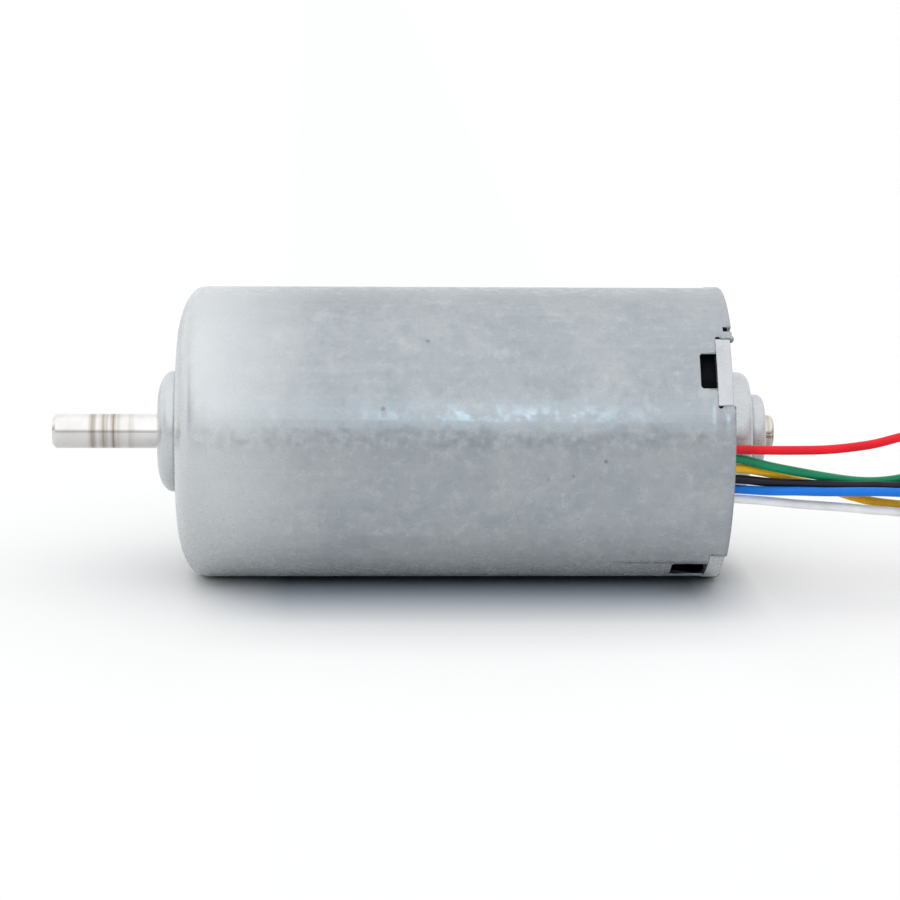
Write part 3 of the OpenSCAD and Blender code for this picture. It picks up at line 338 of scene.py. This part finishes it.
def laminated(name, f):
    material, tree, shader = startMaterial(name)
    # a wave texture of scale 1 repeats every tau / 20
    wave = addNode(tree, "ShaderNodeTexWave", {
        "Vector": objectPoint(tree), "Scale": math.tau / 20 / f["pitch"], "Distortion": 0.0,
    }, wave_type="BANDS", bands_direction="X")
    lines = remap(tree, wave.outputs["Fac"], 0.0, 0.25, 0.55, 0)
    point = objectPoint(tree)
    base = mixColor(tree, noise(tree, point, f["cloudScale"], 3), toLinear(f["color"]),
                    toLinear(shaded(f["color"], f["shade"])))
    base = mixColor(tree, lines, base, toLinear(f["seam"]))
    tree.links.new(base, shader.inputs["Base Color"])
    shader.inputs["Metallic"].default_value = f["metallic"]
    rough = remap(tree, noise(tree, point, f["glossScale"], 2), 0.3, 0.7, *f["roughness"])
    tree.links.new(rough, shader.inputs["Roughness"])
    tree.links.new(bump(tree, wave.outputs["Fac"], f["relief"], f["depth"]), shader.inputs["Normal"])
    return material


# Copper wire under a clear amber coat
magnetWire = {"color": (190, 100, 48), "shade": 0.8, "cloudScale": 320, "spot": (120, 52, 22),
              "spotScale": 1600, "spotAmount": 0.35, "metallic": 0.85, "coat": 0.6, "coatRoughness": 0.15,
              "roughness": (0.24, 0.4), "glossScale": 700, "grainScale": 2400, "relief": 0.2,
              "depth": 0.02 * mm}


def enamelled(name, f):
    material, tree, shader = startMaterial(name)
    point = objectPoint(tree)
    clouds = remap(tree, noise(tree, point, f["cloudScale"], 3), 0.35, 0.65, 0, 1)
    base = mixColor(tree, clouds, toLinear(f["color"]), toLinear(shaded(f["color"], f["shade"])))
    spots = remap(tree, noise(tree, point, f["spotScale"], 2), 0.55, 0.7, 0, f["spotAmount"])
    base = mixColor(tree, spots, base, toLinear(f["spot"]))
    tree.links.new(base, shader.inputs["Base Color"])
    shader.inputs["Metallic"].default_value = f["metallic"]
    shader.inputs["Coat Weight"].default_value = f["coat"]
    shader.inputs["Coat Roughness"].default_value = f["coatRoughness"]
    rough = remap(tree, noise(tree, point, f["glossScale"], 2), 0.3, 0.7, *f["roughness"])
    tree.links.new(rough, shader.inputs["Roughness"])
    grain = noise(tree, point, f["grainScale"], 2)
    tree.links.new(bump(tree, grain, f["relief"], f["depth"]), shader.inputs["Normal"])
    return material


# Solder mask over the board's tracks
solderMask = {"colors": ((22, 96, 52), (18, 84, 46)), "track": (34, 120, 70), "trackScale": 160.0,
              "trackWidth": 0.03, "cloud": (14, 70, 40), "cloudScale": 350, "cloudAmount": 0.4,
              "coat": 0.5, "roughness": (0.25, 0.4), "glossScale": 900, "relief": 0.2, "depth": 0.03 * mm}


def boardMask(name, f):
    material, tree, shader = startMaterial(name)
    point = objectPoint(tree)
    first, second = f["colors"]
    tracks = addNode(tree, "ShaderNodeTexBrick", {
        "Vector": objectPoint(tree, rotation=(0, math.radians(90), 0)), "Scale": f["trackScale"],
        "Color1": toLinear(first), "Color2": toLinear(second), "Mortar": toLinear(f["track"]),
        "Mortar Size": f["trackWidth"], "Bias": 0.0,
    })
    clouds = remap(tree, noise(tree, point, f["cloudScale"], 2), 0.4, 0.6, 0, f["cloudAmount"])
    base = mixColor(tree, clouds, tracks.outputs["Color"], toLinear(f["cloud"]))
    tree.links.new(base, shader.inputs["Base Color"])
    shader.inputs["Coat Weight"].default_value = f["coat"]
    rough = remap(tree, noise(tree, point, f["glossScale"], 2), 0.3, 0.7, *f["roughness"])
    tree.links.new(rough, shader.inputs["Roughness"])
    tree.links.new(bump(tree, tracks.outputs["Fac"], f["relief"], f["depth"]), shader.inputs["Normal"])
    return material


# The finishes: name, colour, roughness, then how deep their marks or grain look
canZinc = zincPlate("zinc plated can", canFinish, True, cornerShade["can"])
capFinish = dict(canFinish, dark=(182, 185, 189), light=(200, 203, 206), edge=0.25 * mm)
capZinc = zincPlate("zinc plated cap", capFinish, False, cornerShade["cap"])
# rub marks on the shaft's front part; the last two rings are painted shade on its rear end and chamfer
shaftWearAndShade = {"color": (128, 110, 84), "rings": [(-12.2, 0.75, 0.7), (-10.5, 1.0, 0.6), (-9.2, 0.8, 0.7),
             (-8.4, 0.5, 0.4), (-6.65, 0.5, 0.4), (85.6, 1.6, 0.55), (86.5, 0.5, 0.85)]}
groundSteel = steel("ground shaft steel", (229, 227, 226), 0.12, 0.2, shaftWearAndShade)
raceSteel = steel("bearing steel", (206, 206, 208), 0.16, 0.1)
ballSteel = steel("polished ball steel", (224, 224, 226), 0.08)
springSteel = steel("blued spring steel", (92, 94, 104), 0.35, 0.1)
screwSteel = steel("screw steel", (200, 200, 198), 0.3, 0.1)
brassFinish = steel("turned brass", (212, 176, 96), 0.28, 0.35)
sleeveSteel = steel("sleeve steel", (188, 188, 190), 0.3, 0.3)
tinFinish = steel("tinned copper", (206, 204, 198), 0.28, 0.2)
canAluminium = steel("capacitor sleeve", (196, 198, 202), 0.35, 0.15)
magnetFinish = plastic("coated magnet", (84, 84, 90), 0.4, 0.3)
ferriteFinish = plastic("bonded ferrite", (58, 58, 60), 0.7, 0.5)
bobbinFinish = plastic("bobbin plastic", (222, 214, 188), 0.5)
wedgeFinish = plastic("slot wedge fibre", (196, 166, 108), 0.75, 0.5)
blackPlastic = plastic("black carrier plastic", (3, 5, 13), 0.65, 0.3, 0.1)
chipFinish = plastic("moulded epoxy", (30, 30, 32), 0.6, 0.5)
rubberFinish = plastic("grommet rubber", (20, 20, 20), 0.8, 0.4, 0.3)
coreFinish = laminated("stacked core steel", stacked)
copperFinish = enamelled("enamelled copper", magnetWire)
maskFinish = boardMask("board with solder mask", solderMask)
innerJacket = plastic("inner lead insulation", (120, 120, 120), 0.45)
jacketFinish = {}
for colour, rgb in jackets.items():
    jacketFinish[colour] = wireJacket(colour + " wire insulation", rgb, extruded)
print("finishes made")


# Helpers for Geometry Nodes
def startTree(name, sizes):
    # the sizes become the tree's named inputs
    tree = bpy.data.node_groups.new(name, "GeometryNodeTree")
    tree.is_modifier = True
    tree.interface.new_socket("Geometry", in_out="INPUT", socket_type="NodeSocketGeometry")
    for label, value in sizes.items():
        kind = {float: "NodeSocketFloat", int: "NodeSocketInt"}.get(type(value), "NodeSocketMaterial")
        tree.interface.new_socket(label, in_out="INPUT", socket_type=kind).default_value = value
    tree.interface.new_socket("Geometry", in_out="OUTPUT", socket_type="NodeSocketGeometry")
    return tree, tree.nodes.new("NodeGroupInput").outputs


def endTree(tree, geometry, material):
    solid = addNode(tree, "GeometryNodeRealizeInstances", {"Geometry": geometry}).outputs["Geometry"]
    finished = addNode(tree, "GeometryNodeSetMaterial", {"Geometry": solid, "Material": material})
    addNode(tree, "NodeGroupOutput", {"Geometry": finished.outputs["Geometry"]})


def roundWire(tree, line, diameter, sides):
    ring = addNode(tree, "GeometryNodeCurvePrimitiveCircle", {
        "Resolution": sides, "Radius": math2(tree, "MULTIPLY", diameter, 0.5)}).outputs["Curve"]
    return addNode(tree, "GeometryNodeCurveToMesh", {
        "Curve": line, "Profile Curve": ring, "Fill Caps": True}).outputs["Mesh"]


def turnedCopies(tree, piece, count, step, first=0.0, axis="Z"):
    # copies turned round an axis through the origin, step and first in degrees
    places = addNode(tree, "GeometryNodeMeshLine", {"Count": count, "Offset": (0, 0, 0)}).outputs["Mesh"]
    turn = math2(tree, "MULTIPLY", addNode(tree, "GeometryNodeInputIndex").outputs["Index"], step)
    turn = math2(tree, "RADIANS", math2(tree, "ADD", turn, first))
    turn = addNode(tree, "ShaderNodeCombineXYZ", {axis: turn}).outputs["Vector"]
    return addNode(tree, "GeometryNodeInstanceOnPoints", {
        "Points": places, "Instance": piece, "Rotation": turn}).outputs["Instances"]


def buildByNodes(name, start, tree, sizes, sharp=60):
    piece = bpy.data.objects.new(name, start)
    bpy.context.scene.collection.objects.link(piece)
    build = piece.modifiers.new("build", "NODES")
    build.node_group = tree
    for socket in tree.interface.items_tree:
        if socket.in_out == "INPUT" and socket.name in sizes:
            build[socket.identifier] = sizes[socket.name]
    made = bpy.data.meshes.new_from_object(piece.evaluated_get(bpy.context.evaluated_depsgraph_get()))
    piece.modifiers.remove(build)
    piece.data = made
    made.shade_smooth()
    made.set_sharp_from_angle(angle=math.radians(sharp))
    return piece


# Six leads, from the cap to the hank behind the motor
leads = {
    "diameter": 1.3, "pitch": 1.55, "circle": 14.8, "turn": -77.6, "exitX": 78.05,
    "order": ["red", "green", "yellow", "black", "blue", "white"],
    "layers": [5, 4, 1, 3, 2, 0],
    "floor": -21.15, "tie": 0.6, "layerPitch": 1.5, "turnPitch": 1.75,
    "hankX": 142.0, "hankY": -2.5, "halfLength": 13.5, "halfWidth": 7.3, "turns": 2, "waist": 0.8,
    "loopSteps": 48, "sides": 12, "routeStep": 0.8,
}
routes = {
    "red": [(80, -15.3, 0.5), (84, -15.3, 0.4), (88, -15.3, 0.4), (92, -15.3, 0.5), (96, -15.3, 0.9),
            (99, -15.3, 1.4), (102, -15.3, 2.2), (106, -14.9, 3.1), (110, -14, 2.9), (114, -12.9, 1.1),
            (118, -11.7, -2.2), (122, -10.5, -6.6), (126, -9.5, -10.6), (130, -9.1, -12.4)],
    "green": [(80, -14.9, -1), (84, -14.8, -2), (88, -14.2, -2.9), (92, -13.2, -3.8), (96, -12.6, -4.5),
              (99, -12.4, -4.7), (102, -12.3, -4.5), (106, -12, -3.8), (110, -11.5, -3.4), (114, -11, -4.2),
              (118, -10.4, -6.4), (122, -9.9, -9.6), (126, -9.4, -12.6), (130, -9.1, -13.9)],
    "yellow": [(80, -14.5, -2.4), (84, -13.5, -3.2), (88, -12.5, -4.5), (92, -12, -5.5), (96, -12, -6.8),
               (99, -12, -7.6), (102, -12.2, -8), (106, -12.1, -8.4), (110, -11.8, -9.4), (114, -11.3, -11.4),
               (118, -10.7, -14.1), (122, -10.1, -16.6), (126, -9.4, -18.1), (130, -9.1, -18.4)],
    "black": [(80, -14.3, -4), (84, -14.4, -4.4), (88, -14.3, -4.6), (92, -14.2, -4.8), (96, -14, -5),
              (99, -13.8, -5), (102, -13.7, -5.1), (106, -13.4, -5), (110, -12.6, -5.2), (114, -11.8, -6.5),
              (118, -10.9, -9), (122, -10.1, -12), (126, -9.4, -14.4), (130, -9.1, -15.4)],
    "blue": [(80, -14.1, -5.5), (84, -15.2, -5.5), (88, -15.3, -5.5), (92, -15.3, -5.6), (96, -15.2, -5.6),
             (99, -15.2, -5.6), (102, -15.1, -5.7), (106, -14.7, -6), (110, -13.8, -7), (114, -12.7, -8.9),
             (118, -11.5, -11.6), (122, -10.4, -14.4), (126, -9.5, -16.3), (130, -9.1, -16.9)],
    "white": [(80, -13.6, -7), (84, -13.6, -7.3), (88, -13.6, -7.7), (92, -13.6, -8), (96, -13.6, -8.3),
              (99, -13.6, -8.6), (102, -13.6, -8.8), (106, -13.3, -9.5), (110, -12.6, -11.1),
              (114, -11.8, -13.8), (118, -10.9, -16.7), (122, -10.1, -18.8), (126, -9.4, -19.7),
              (130, -9.1, -19.9)],
}


def leadExit(k):
    y = (k - (len(leads["order"]) - 1) / 2) * leads["pitch"]
    z = -leads["circle"]
    t = math.radians(leads["turn"])
    return Vector((leads["exitX"], y * math.cos(t) - z * math.sin(t), y * math.sin(t) + z * math.cos(t)))


def hankPoint(k, turn):
    # a waisted loop, whose turns step inwards; the first turn starts where the loop runs straight along x
    start = math.asin(math.sqrt(1 / (3 * leads["waist"]))) - math.pi
    a = start + 2 * math.pi * turn
    s = math.sin(a)
    run = Vector((leads["halfLength"] * math.cos(a), leads["halfWidth"] * s * (1 - leads["waist"] * s * s)))
    along = Vector((-leads["halfLength"] * s,
                    leads["halfWidth"] * math.cos(a) * (1 - 3 * leads["waist"] * s * s)))
    out = Vector((along.y, -along.x)).normalized()
    at = run + out * leads["turnPitch"] * (leads["turns"] - turn)
    z = leads["floor"] + leads["tie"] + leads["diameter"] / 2 + leads["layers"][k] * leads["layerPitch"]
    return Vector((leads["hankX"] + at.x, leads["hankY"] + at.y, z))


def smoothPath(points, step):
    # centripetal spline through the route's points, sampled every step millimetres or so
    p = [points[0] * 2 - points[1]] + points + [points[-1] * 2 - points[-2]]
    out = []
    for i in range(1, len(p) - 2):
        p0, p1, p2, p3 = p[i - 1], p[i], p[i + 1], p[i + 2]
        t1 = (p1 - p0).length ** 0.5
        t2 = t1 + (p2 - p1).length ** 0.5
        t3 = t2 + (p3 - p2).length ** 0.5
        count = max(2, round((p2 - p1).length / step))
        for j in range(count):
            t = t1 + (t2 - t1) * j / count
            a1 = p0 * ((t1 - t) / t1) + p1 * (t / t1)
            a2 = p1 * ((t2 - t) / (t2 - t1)) + p2 * ((t - t1) / (t2 - t1))
            a3 = p2 * ((t3 - t) / (t3 - t2)) + p3 * ((t - t2) / (t3 - t2))
            b1 = a1 * ((t2 - t) / t2) + a2 * (t / t2)
            b2 = a2 * ((t3 - t) / (t3 - t1)) + a3 * ((t - t1) / (t3 - t1))
            out.append(b1 * ((t2 - t) / (t2 - t1)) + b2 * ((t - t1) / (t2 - t1)))
    return out


def leadPath(k, colour):
    steps = leads["turns"] * leads["loopSteps"]
    loops = [hankPoint(k, i / leads["loopSteps"]) for i in range(steps + 1)]
    free = [leadExit(k)] + [Vector(p) for p in routes[colour]] + loops[:2]
    free = smoothPath(free, leads["routeStep"])
    cut = min(range(len(free)), key=lambda i: (free[i] - loops[0]).length)
    return free[:cut] + loops


def makeWireTree():
    tree, sizes = startTree("wire along its path", {
        "Diameter": leads["diameter"] * mm, "Sides": leads["sides"], "Jacket": None})
    line = addNode(tree, "GeometryNodeMeshToCurve", {"Mesh": sizes["Geometry"]}).outputs["Curve"]
    endTree(tree, roundWire(tree, line, sizes["Diameter"], sizes["Sides"]), sizes["Jacket"])
    return tree


# Stripped ends: six tinned strands twisted round a straight one
stripped = {"strand": 0.2 * mm, "length": 5.0 * mm, "turns": 0.8, "aside": 15.0, "around": 6,
            "steps": 16, "sides": 6}


def makeStrandTree(p):
    tree, sizes = startTree("twisted strands", {
        "Strand": p["strand"], "Length": p["length"], "Turns": p["turns"], "Metal": None})
    helix = addNode(tree, "GeometryNodeCurveSpiral", {
        "Resolution": p["steps"], "Rotations": sizes["Turns"], "Start Radius": sizes["Strand"],
        "End Radius": sizes["Strand"], "Height": sizes["Length"]}).outputs["Curve"]
    strand = roundWire(tree, helix, sizes["Strand"], p["sides"])
    outer = turnedCopies(tree, strand, p["around"], 360 / p["around"])
    top = addNode(tree, "ShaderNodeCombineXYZ", {"Z": sizes["Length"]}).outputs["Vector"]
    middle = addNode(tree, "GeometryNodeCurvePrimitiveLine", {"Start": (0, 0, 0), "End": top})
    bundle = addNode(tree, "GeometryNodeJoinGeometry")
    for part in (outer, roundWire(tree, middle.outputs["Curve"], sizes["Strand"], p["sides"])):
        tree.links.new(part, bundle.inputs["Geometry"])
    heading = addNode(tree, "GeometryNodeInputNamedAttribute", {"Name": "heading"}, data_type="FLOAT")
    turn = addNode(tree, "ShaderNodeCombineXYZ", {"Y": math.pi / 2, "Z": heading.outputs["Attribute"]})
    ends = addNode(tree, "GeometryNodeInstanceOnPoints", {
        "Points": sizes["Geometry"], "Instance": bundle.outputs["Geometry"],
        "Rotation": turn.outputs["Vector"]})
    endTree(tree, ends.outputs["Instances"], sizes["Metal"])
    return tree


leadPaths = {colour: [p * mm for p in leadPath(k, colour)] for k, colour in enumerate(leads["order"])}
tips = bpy.data.meshes.new("tips")
tips.from_pydata([p[-1] for p in leadPaths.values()], [], [])
heading = tips.attributes.new("heading", "FLOAT", "POINT")
for i, p in enumerate(leadPaths.values()):
    way = p[-1] - p[-2]
    heading.data[i].value = math.atan2(way.y, way.x) + math.radians(stripped["aside"])
strands = buildByNodes("stripped_strands", tips, makeStrandTree(stripped), {
    "Strand": stripped["strand"], "Length": stripped["length"], "Turns": stripped["turns"],
    "Metal": tinFinish})
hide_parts("lead_tips")
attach(strands, "housing")
print("stripped ends made")

wireTree = makeWireTree()
for colour, points in leadPaths.items():
    line = bpy.data.meshes.new(colour + " path")
    line.from_pydata(points, [(i, i + 1) for i in range(len(points) - 1)], [])
    piece = buildByNodes(colour + "_wire", line, wireTree, {
        "Diameter": leads["diameter"] * mm, "Sides": leads["sides"], "Jacket": jacketFinish[colour]})
    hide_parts(colour + "_lead", colour + "_hank")
    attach(piece, "housing")


# Stator coils: enamelled wire wound round each tooth
windings = {"wire": 0.6 * mm, "rowsOfLayer": (4, 4, 3), "firstRadius": 13.78 * mm,
            "halfLength": 17.8 * mm, "halfWidth": 2.5 * mm, "layerStart": 0.52, "middle": 35 * mm,
            "corner": 0.2 * mm, "cornerSteps": 4, "sides": 6, "teeth": 9, "coilsPerPhase": 3,
            "firstAngle": 102.4}


def makeWindingTree(w):
    tree, sizes = startTree("coils of one phase", {
        "Wire": w["wire"], "First Radius": w["firstRadius"], "Half Length": w["halfLength"],
        "Half Width": w["halfWidth"], "Middle": w["middle"], "First Angle": w["firstAngle"], "Copper": None})
    coil = addNode(tree, "GeometryNodeJoinGeometry")
    for layer, rows in enumerate(w["rowsOfLayer"]):
        # one layer: the turns lie beside each other along the tooth
        out = math2(tree, "MULTIPLY", sizes["Wire"], layer + w["layerStart"])
        turn = addNode(tree, "GeometryNodeCurvePrimitiveQuadrilateral", {
            "Width": math2(tree, "MULTIPLY", math2(tree, "ADD", sizes["Half Length"], out), 2.0),
            "Height": math2(tree, "MULTIPLY", math2(tree, "ADD", sizes["Half Width"], out), 2.0)})
        turn = addNode(tree, "GeometryNodeFilletCurve", {
            "Curve": turn.outputs["Curve"], "Count": w["cornerSteps"],
            "Radius": math2(tree, "ADD", out, w["corner"]),
        }, mode="POLY").outputs["Curve"]
        start = addNode(tree, "ShaderNodeCombineXYZ", {
            "X": sizes["Middle"], "Z": sizes["First Radius"]}).outputs["Vector"]
        step = addNode(tree, "ShaderNodeCombineXYZ", {"Z": sizes["Wire"]}).outputs["Vector"]
        places = addNode(tree, "GeometryNodeMeshLine", {
            "Count": rows, "Start Location": start, "Offset": step}).outputs["Mesh"]
        turns = addNode(tree, "GeometryNodeInstanceOnPoints", {
            "Points": places, "Instance": roundWire(tree, turn, sizes["Wire"], w["sides"])})
        tree.links.new(turns.outputs["Instances"], coil.inputs["Geometry"])
    coils = turnedCopies(tree, coil.outputs["Geometry"], w["coilsPerPhase"], 360 / w["coilsPerPhase"],
                         sizes["First Angle"], "X")
    endTree(tree, coils, sizes["Copper"])
    return tree


windingTree = makeWindingTree(windings)
for k, phase in enumerate("uvw"):
    seat = bpy.data.meshes.new("phase " + phase)
    coils = buildByNodes(f"phase_{phase}_windings", seat, windingTree, {
        "Wire": windings["wire"], "First Radius": windings["firstRadius"],
        "Half Length": windings["halfLength"], "Half Width": windings["halfWidth"],
        "Middle": windings["middle"],
        "First Angle": windings["firstAngle"] + k * 360 / windings["teeth"], "Copper": copperFinish})
    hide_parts(f"phase_{phase}_coils")
    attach(coils, "housing")
print("coils wound")


# Floor, sky and lamp
# shadeStops paint the can's shadow on the floor for the camera; mirrorStops paint the floor lighter near the
# can where the motor mirrors it
stage = {"floorZ": -21.15 * mm, "floorRadius": 8.0, "floorSides": 64, "floorAlbedo": (0.755, 0.759, 0.761),
         "floorRoughness": 0.9, "floorSpecular": 0.1, "rampReach": 0.25,
         "skyColor": (254, 254, 254), "endsFrom": (0.45, 0.95), "backFrom": (0.1, 0.75),
         "skyLevel": 1.37, "skyStops": [(0.0, 0.41), (0.1, 0.43), (0.18, 0.53), (0.42, 1.0)],
         "endSkyLevel": 0.96, "backSkyLevel": 0.84, "backLift": (0.0, 0.35, 0.0, 0.42),
         "shadeStops": [(0.0, 0.12), (0.004, 0.2), (0.008, 0.44), (0.015, 0.63), (0.03, 1.0), (0.046, 1.1),
                        (0.1, 1.06), (0.25, 1.03)],
         "shadeAlong": (0.001, 0.016, 0.074, 0.084), "openShade": 1.07, "shadeTint": (-0.17, 0.0, 0.26),
         "mirrorStops": [(0.0, 1.27), (0.022, 1.25), (0.06, 1.0), (0.15, 0.94)], "mirrorOpen": 0.95,
         "lampAngle": 5.0, "lampLevel": 0.036, "lampElevation": 24.0, "lampAzimuth": 3.9,
         "lampColor": (0.62, 0.86, 1.0)}


def makeFloor(s):
    mesh = bpy.data.meshes.new("floor")
    step = math.tau / s["floorSides"]
    ring = [(s["floorRadius"] * math.cos(i * step), s["floorRadius"] * math.sin(i * step), s["floorZ"])
            for i in range(s["floorSides"])]
    mesh.from_pydata(ring, [], [list(range(s["floorSides"]))])
    floor = bpy.data.objects.new("floor", mesh)
    bpy.context.scene.collection.objects.link(floor)
    material, tree, shader = startMaterial("pale floor")
    # painted shadow: the paper is painted darker along the line where the can lies on it
    split = addNode(tree, "ShaderNodeSeparateXYZ", {"Vector": objectPoint(tree)})
    stretch = 1 / s["rampReach"]
    across = math2(tree, "MULTIPLY", math2(tree, "ABSOLUTE", split.outputs["Y"]), stretch)
    shown = levelRamp(tree, across, s["shadeStops"], stretch, s["shadeTint"])
    mirrored = levelRamp(tree, across, s["mirrorStops"], stretch)
    x0, x1, x2, x3 = s["shadeAlong"]
    along = math2(tree, "MINIMUM", remap(tree, split.outputs["X"], x0, x1, 0, 1),
                  remap(tree, split.outputs["X"], x2, x3, 1, 0))
    # the painted shadow belongs to the picture of the floor; the motor mirrors a floor painted lighter near
    # the can, a painted pool of light
    shown = mixColor(tree, along, (*[s["openShade"]] * 3, 1.0), shown)
    mirrored = mixColor(tree, along, (*[s["mirrorOpen"]] * 3, 1.0), mirrored)
    rays = addNode(tree, "ShaderNodeLightPath")
    shade = mixColor(tree, rays.outputs["Is Camera Ray"], mirrored, shown)
    albedo = mixColor(tree, 1.0, (*s["floorAlbedo"], 1.0), shade, "MULTIPLY")
    tree.links.new(albedo, shader.inputs["Base Color"])
    shader.inputs["Roughness"].default_value = s["floorRoughness"]
    shader.inputs["Specular IOR Level"].default_value = s["floorSpecular"]
    mesh.materials.append(material)


def makeWorld(s):
    world = bpy.data.worlds.new("studio")
    bpy.context.scene.world = world
    world.use_nodes = True
    tree = world.node_tree
    tree.nodes.clear()
    rays = addNode(tree, "ShaderNodeLightPath")
    coord = addNode(tree, "ShaderNodeTexCoord")
    way = addNode(tree, "ShaderNodeSeparateXYZ", {"Vector": coord.outputs["Generated"]})
    # the sky is dark only low down on the camera's side
    height = math2(tree, "MAXIMUM", way.outputs["Z"], remap(tree, way.outputs["Y"], *s["backLift"]))
    level = math2(tree, "MULTIPLY", levelRamp(tree, height, s["skyStops"]), s["skyLevel"])
    # the studio is darker off both ends of the motor
    ends = remap(tree, math2(tree, "ABSOLUTE", way.outputs["X"]), *s["endsFrom"], 1, s["endSkyLevel"])
    level = math2(tree, "MULTIPLY", level, ends)
    # and behind it
    back = remap(tree, way.outputs["Y"], *s["backFrom"], 1, s["backSkyLevel"])
    level = math2(tree, "MULTIPLY", level, back)
    seen = math2(tree, "MAXIMUM", rays.outputs["Is Camera Ray"], rays.outputs["Is Transmission Ray"])
    mixed = addNode(tree, "ShaderNodeMapRange", {"Value": seen, "To Min": level, "To Max": 1.0})
    sky = addNode(tree, "ShaderNodeBackground", {
        "Color": toLinear(s["skyColor"]), "Strength": mixed.outputs["Result"]})
    addNode(tree, "ShaderNodeOutputWorld", {"Surface": sky.outputs[0]})


def makeLamp(s):
    # the soft light above the camera, which lays a band along the can
    data = bpy.data.lights.new("band light", "SUN")
    data.energy = s["lampLevel"]
    data.angle = math.radians(s["lampAngle"])
    data.color = s["lampColor"]
    lamp = bpy.data.objects.new("band light", data)
    bpy.context.scene.collection.objects.link(lamp)
    a, e = math.radians(s["lampAzimuth"]), math.radians(s["lampElevation"])
    toLamp = Vector((math.sin(a) * math.cos(e), -math.cos(a) * math.cos(e), math.sin(e)))
    lamp.rotation_mode = "QUATERNION"
    lamp.rotation_quaternion = toLamp.to_track_quat("Z", "Y")


makeFloor(stage)
makeWorld(stage)
makeLamp(stage)
bpy.context.scene.view_settings.view_transform = "Standard"
print("stage and light made")


bySlot = {
    "can": canZinc, "end_cap": capZinc, "shaft": groundSteel, "bearing_steel": raceSteel,
    "spring_steel": springSteel, "cage_brass": brassFinish, "brass": brassFinish, "core_steel": coreFinish,
    "magnet": magnetFinish, "sleeve": sleeveSteel, "ferrite": ferriteFinish, "insulator": bobbinFinish,
    "wedge": wedgeFinish, "copper": copperFinish, "tinned": tinFinish, "black_plastic": blackPlastic,
    "board": maskFinish, "chip": chipFinish, "capacitor": canAluminium, "screw": screwSteel,
    "grommet": rubberFinish, "inner_lead": innerJacket,
}
bySlot.update(jacketFinish)
for entry in frame["record"]["subparts"]:
    piece = nodes[entry["node"]]
    piece.data.materials.clear()
    piece.data.materials.append(bySlot[entry["material_slot"]])
for name in ("front_bearing_balls", "rear_bearing_balls"):
    nodes[name].data.materials[0] = ballSteel
print("finishes given")


# The can's front corner and its boss are pressed softer than a plain arc: each is an ellipse, given as
# its depth and its reach
canFront = {"edge": 21.0 * mm, "corner": 4.6 * mm, "softCorner": (4.0 * mm, 9.0 * mm),
            "bossEdge": 8.75 * mm, "bossHeight": 2.8 * mm, "bossCorner": 1.2 * mm,
            "softBoss": (2.2 * mm, 4.0 * mm), "skin": 0.03 * mm, "longEdge": 0.5 * mm, "cuts": 7,
            "wallCuts": (5.0 * mm, 12.0 * mm, 59.7 * mm, 75.0 * mm), "merge": 0.0005 * mm,
            "cutMerge": 0.0002 * mm, "bossMargin": 0.01 * mm, "sharp": 35}


def roundedDepth(radius, edge, depth, reach):
    # how far a rounded edge has fallen back at this radius
    t = min(1.0, max(0.0, (radius - edge + reach) / reach))
    return depth * (1 - math.sqrt(1 - t * t))


def sourceAndSoft(radius, f):
    # x of the CAD's front and of the softer one at this radius
    if radius < f["bossEdge"] + f["bossMargin"]:
        return (roundedDepth(radius, f["bossEdge"], f["bossCorner"], f["bossCorner"]) - f["bossHeight"],
                roundedDepth(radius, f["bossEdge"], *f["softBoss"]) - f["bossHeight"])
    return (roundedDepth(radius, f["edge"], f["corner"], f["corner"]),
            roundedDepth(radius, f["edge"], *f["softCorner"]))


def softenFront(node, name, f, finish):
    shape = bmesh.new()
    shape.from_mesh(node.data)
    bmesh.ops.remove_doubles(shape, verts=shape.verts, dist=f["merge"])
    radius = {v: math.hypot(v.co.y, v.co.z) for v in shape.verts}
    onFront = {v for v, r in radius.items() if abs(v.co.x - sourceAndSoft(r, f)[0]) < f["skin"]}
    # the flat of the front has no points to bend, so its long edges are cut first
    across = [e for e in shape.edges if set(e.verts) <= onFront
              and abs(radius[e.verts[0]] - radius[e.verts[1]]) > f["longEdge"]]
    bmesh.ops.subdivide_edges(shape, edges=across, cuts=f["cuts"], use_grid_fill=True)
    for v in shape.verts:
        source, soft = sourceAndSoft(math.hypot(v.co.y, v.co.z), f)
        if abs(v.co.x - source) < f["skin"]:
            v.co.x += max(0.0, soft - source)
    # the long wall is cut near its ends, so that its shading stays straight between them
    for at in f["wallCuts"]:
        bmesh.ops.bisect_plane(shape, geom=[*shape.verts, *shape.edges, *shape.faces], dist=f["cutMerge"],
                               plane_co=(at, 0, 0), plane_no=(1, 0, 0))
    bmesh.ops.triangulate(shape, faces=shape.faces)
    made = bpy.data.meshes.new(name)
    shape.to_mesh(made)
    shape.free()
    made.shade_smooth()
    made.set_sharp_from_angle(angle=math.radians(f["sharp"]))
    made.materials.append(finish)
    piece = bpy.data.objects.new(name, made)
    bpy.context.scene.collection.objects.link(piece)
    return piece


pressedCan = softenFront(nodes["can"], "pressed_can", canFront, canZinc)
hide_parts("can")
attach(pressedCan, "housing")
print("can pressed:", len(pressedCan.data.polygons), "triangles")
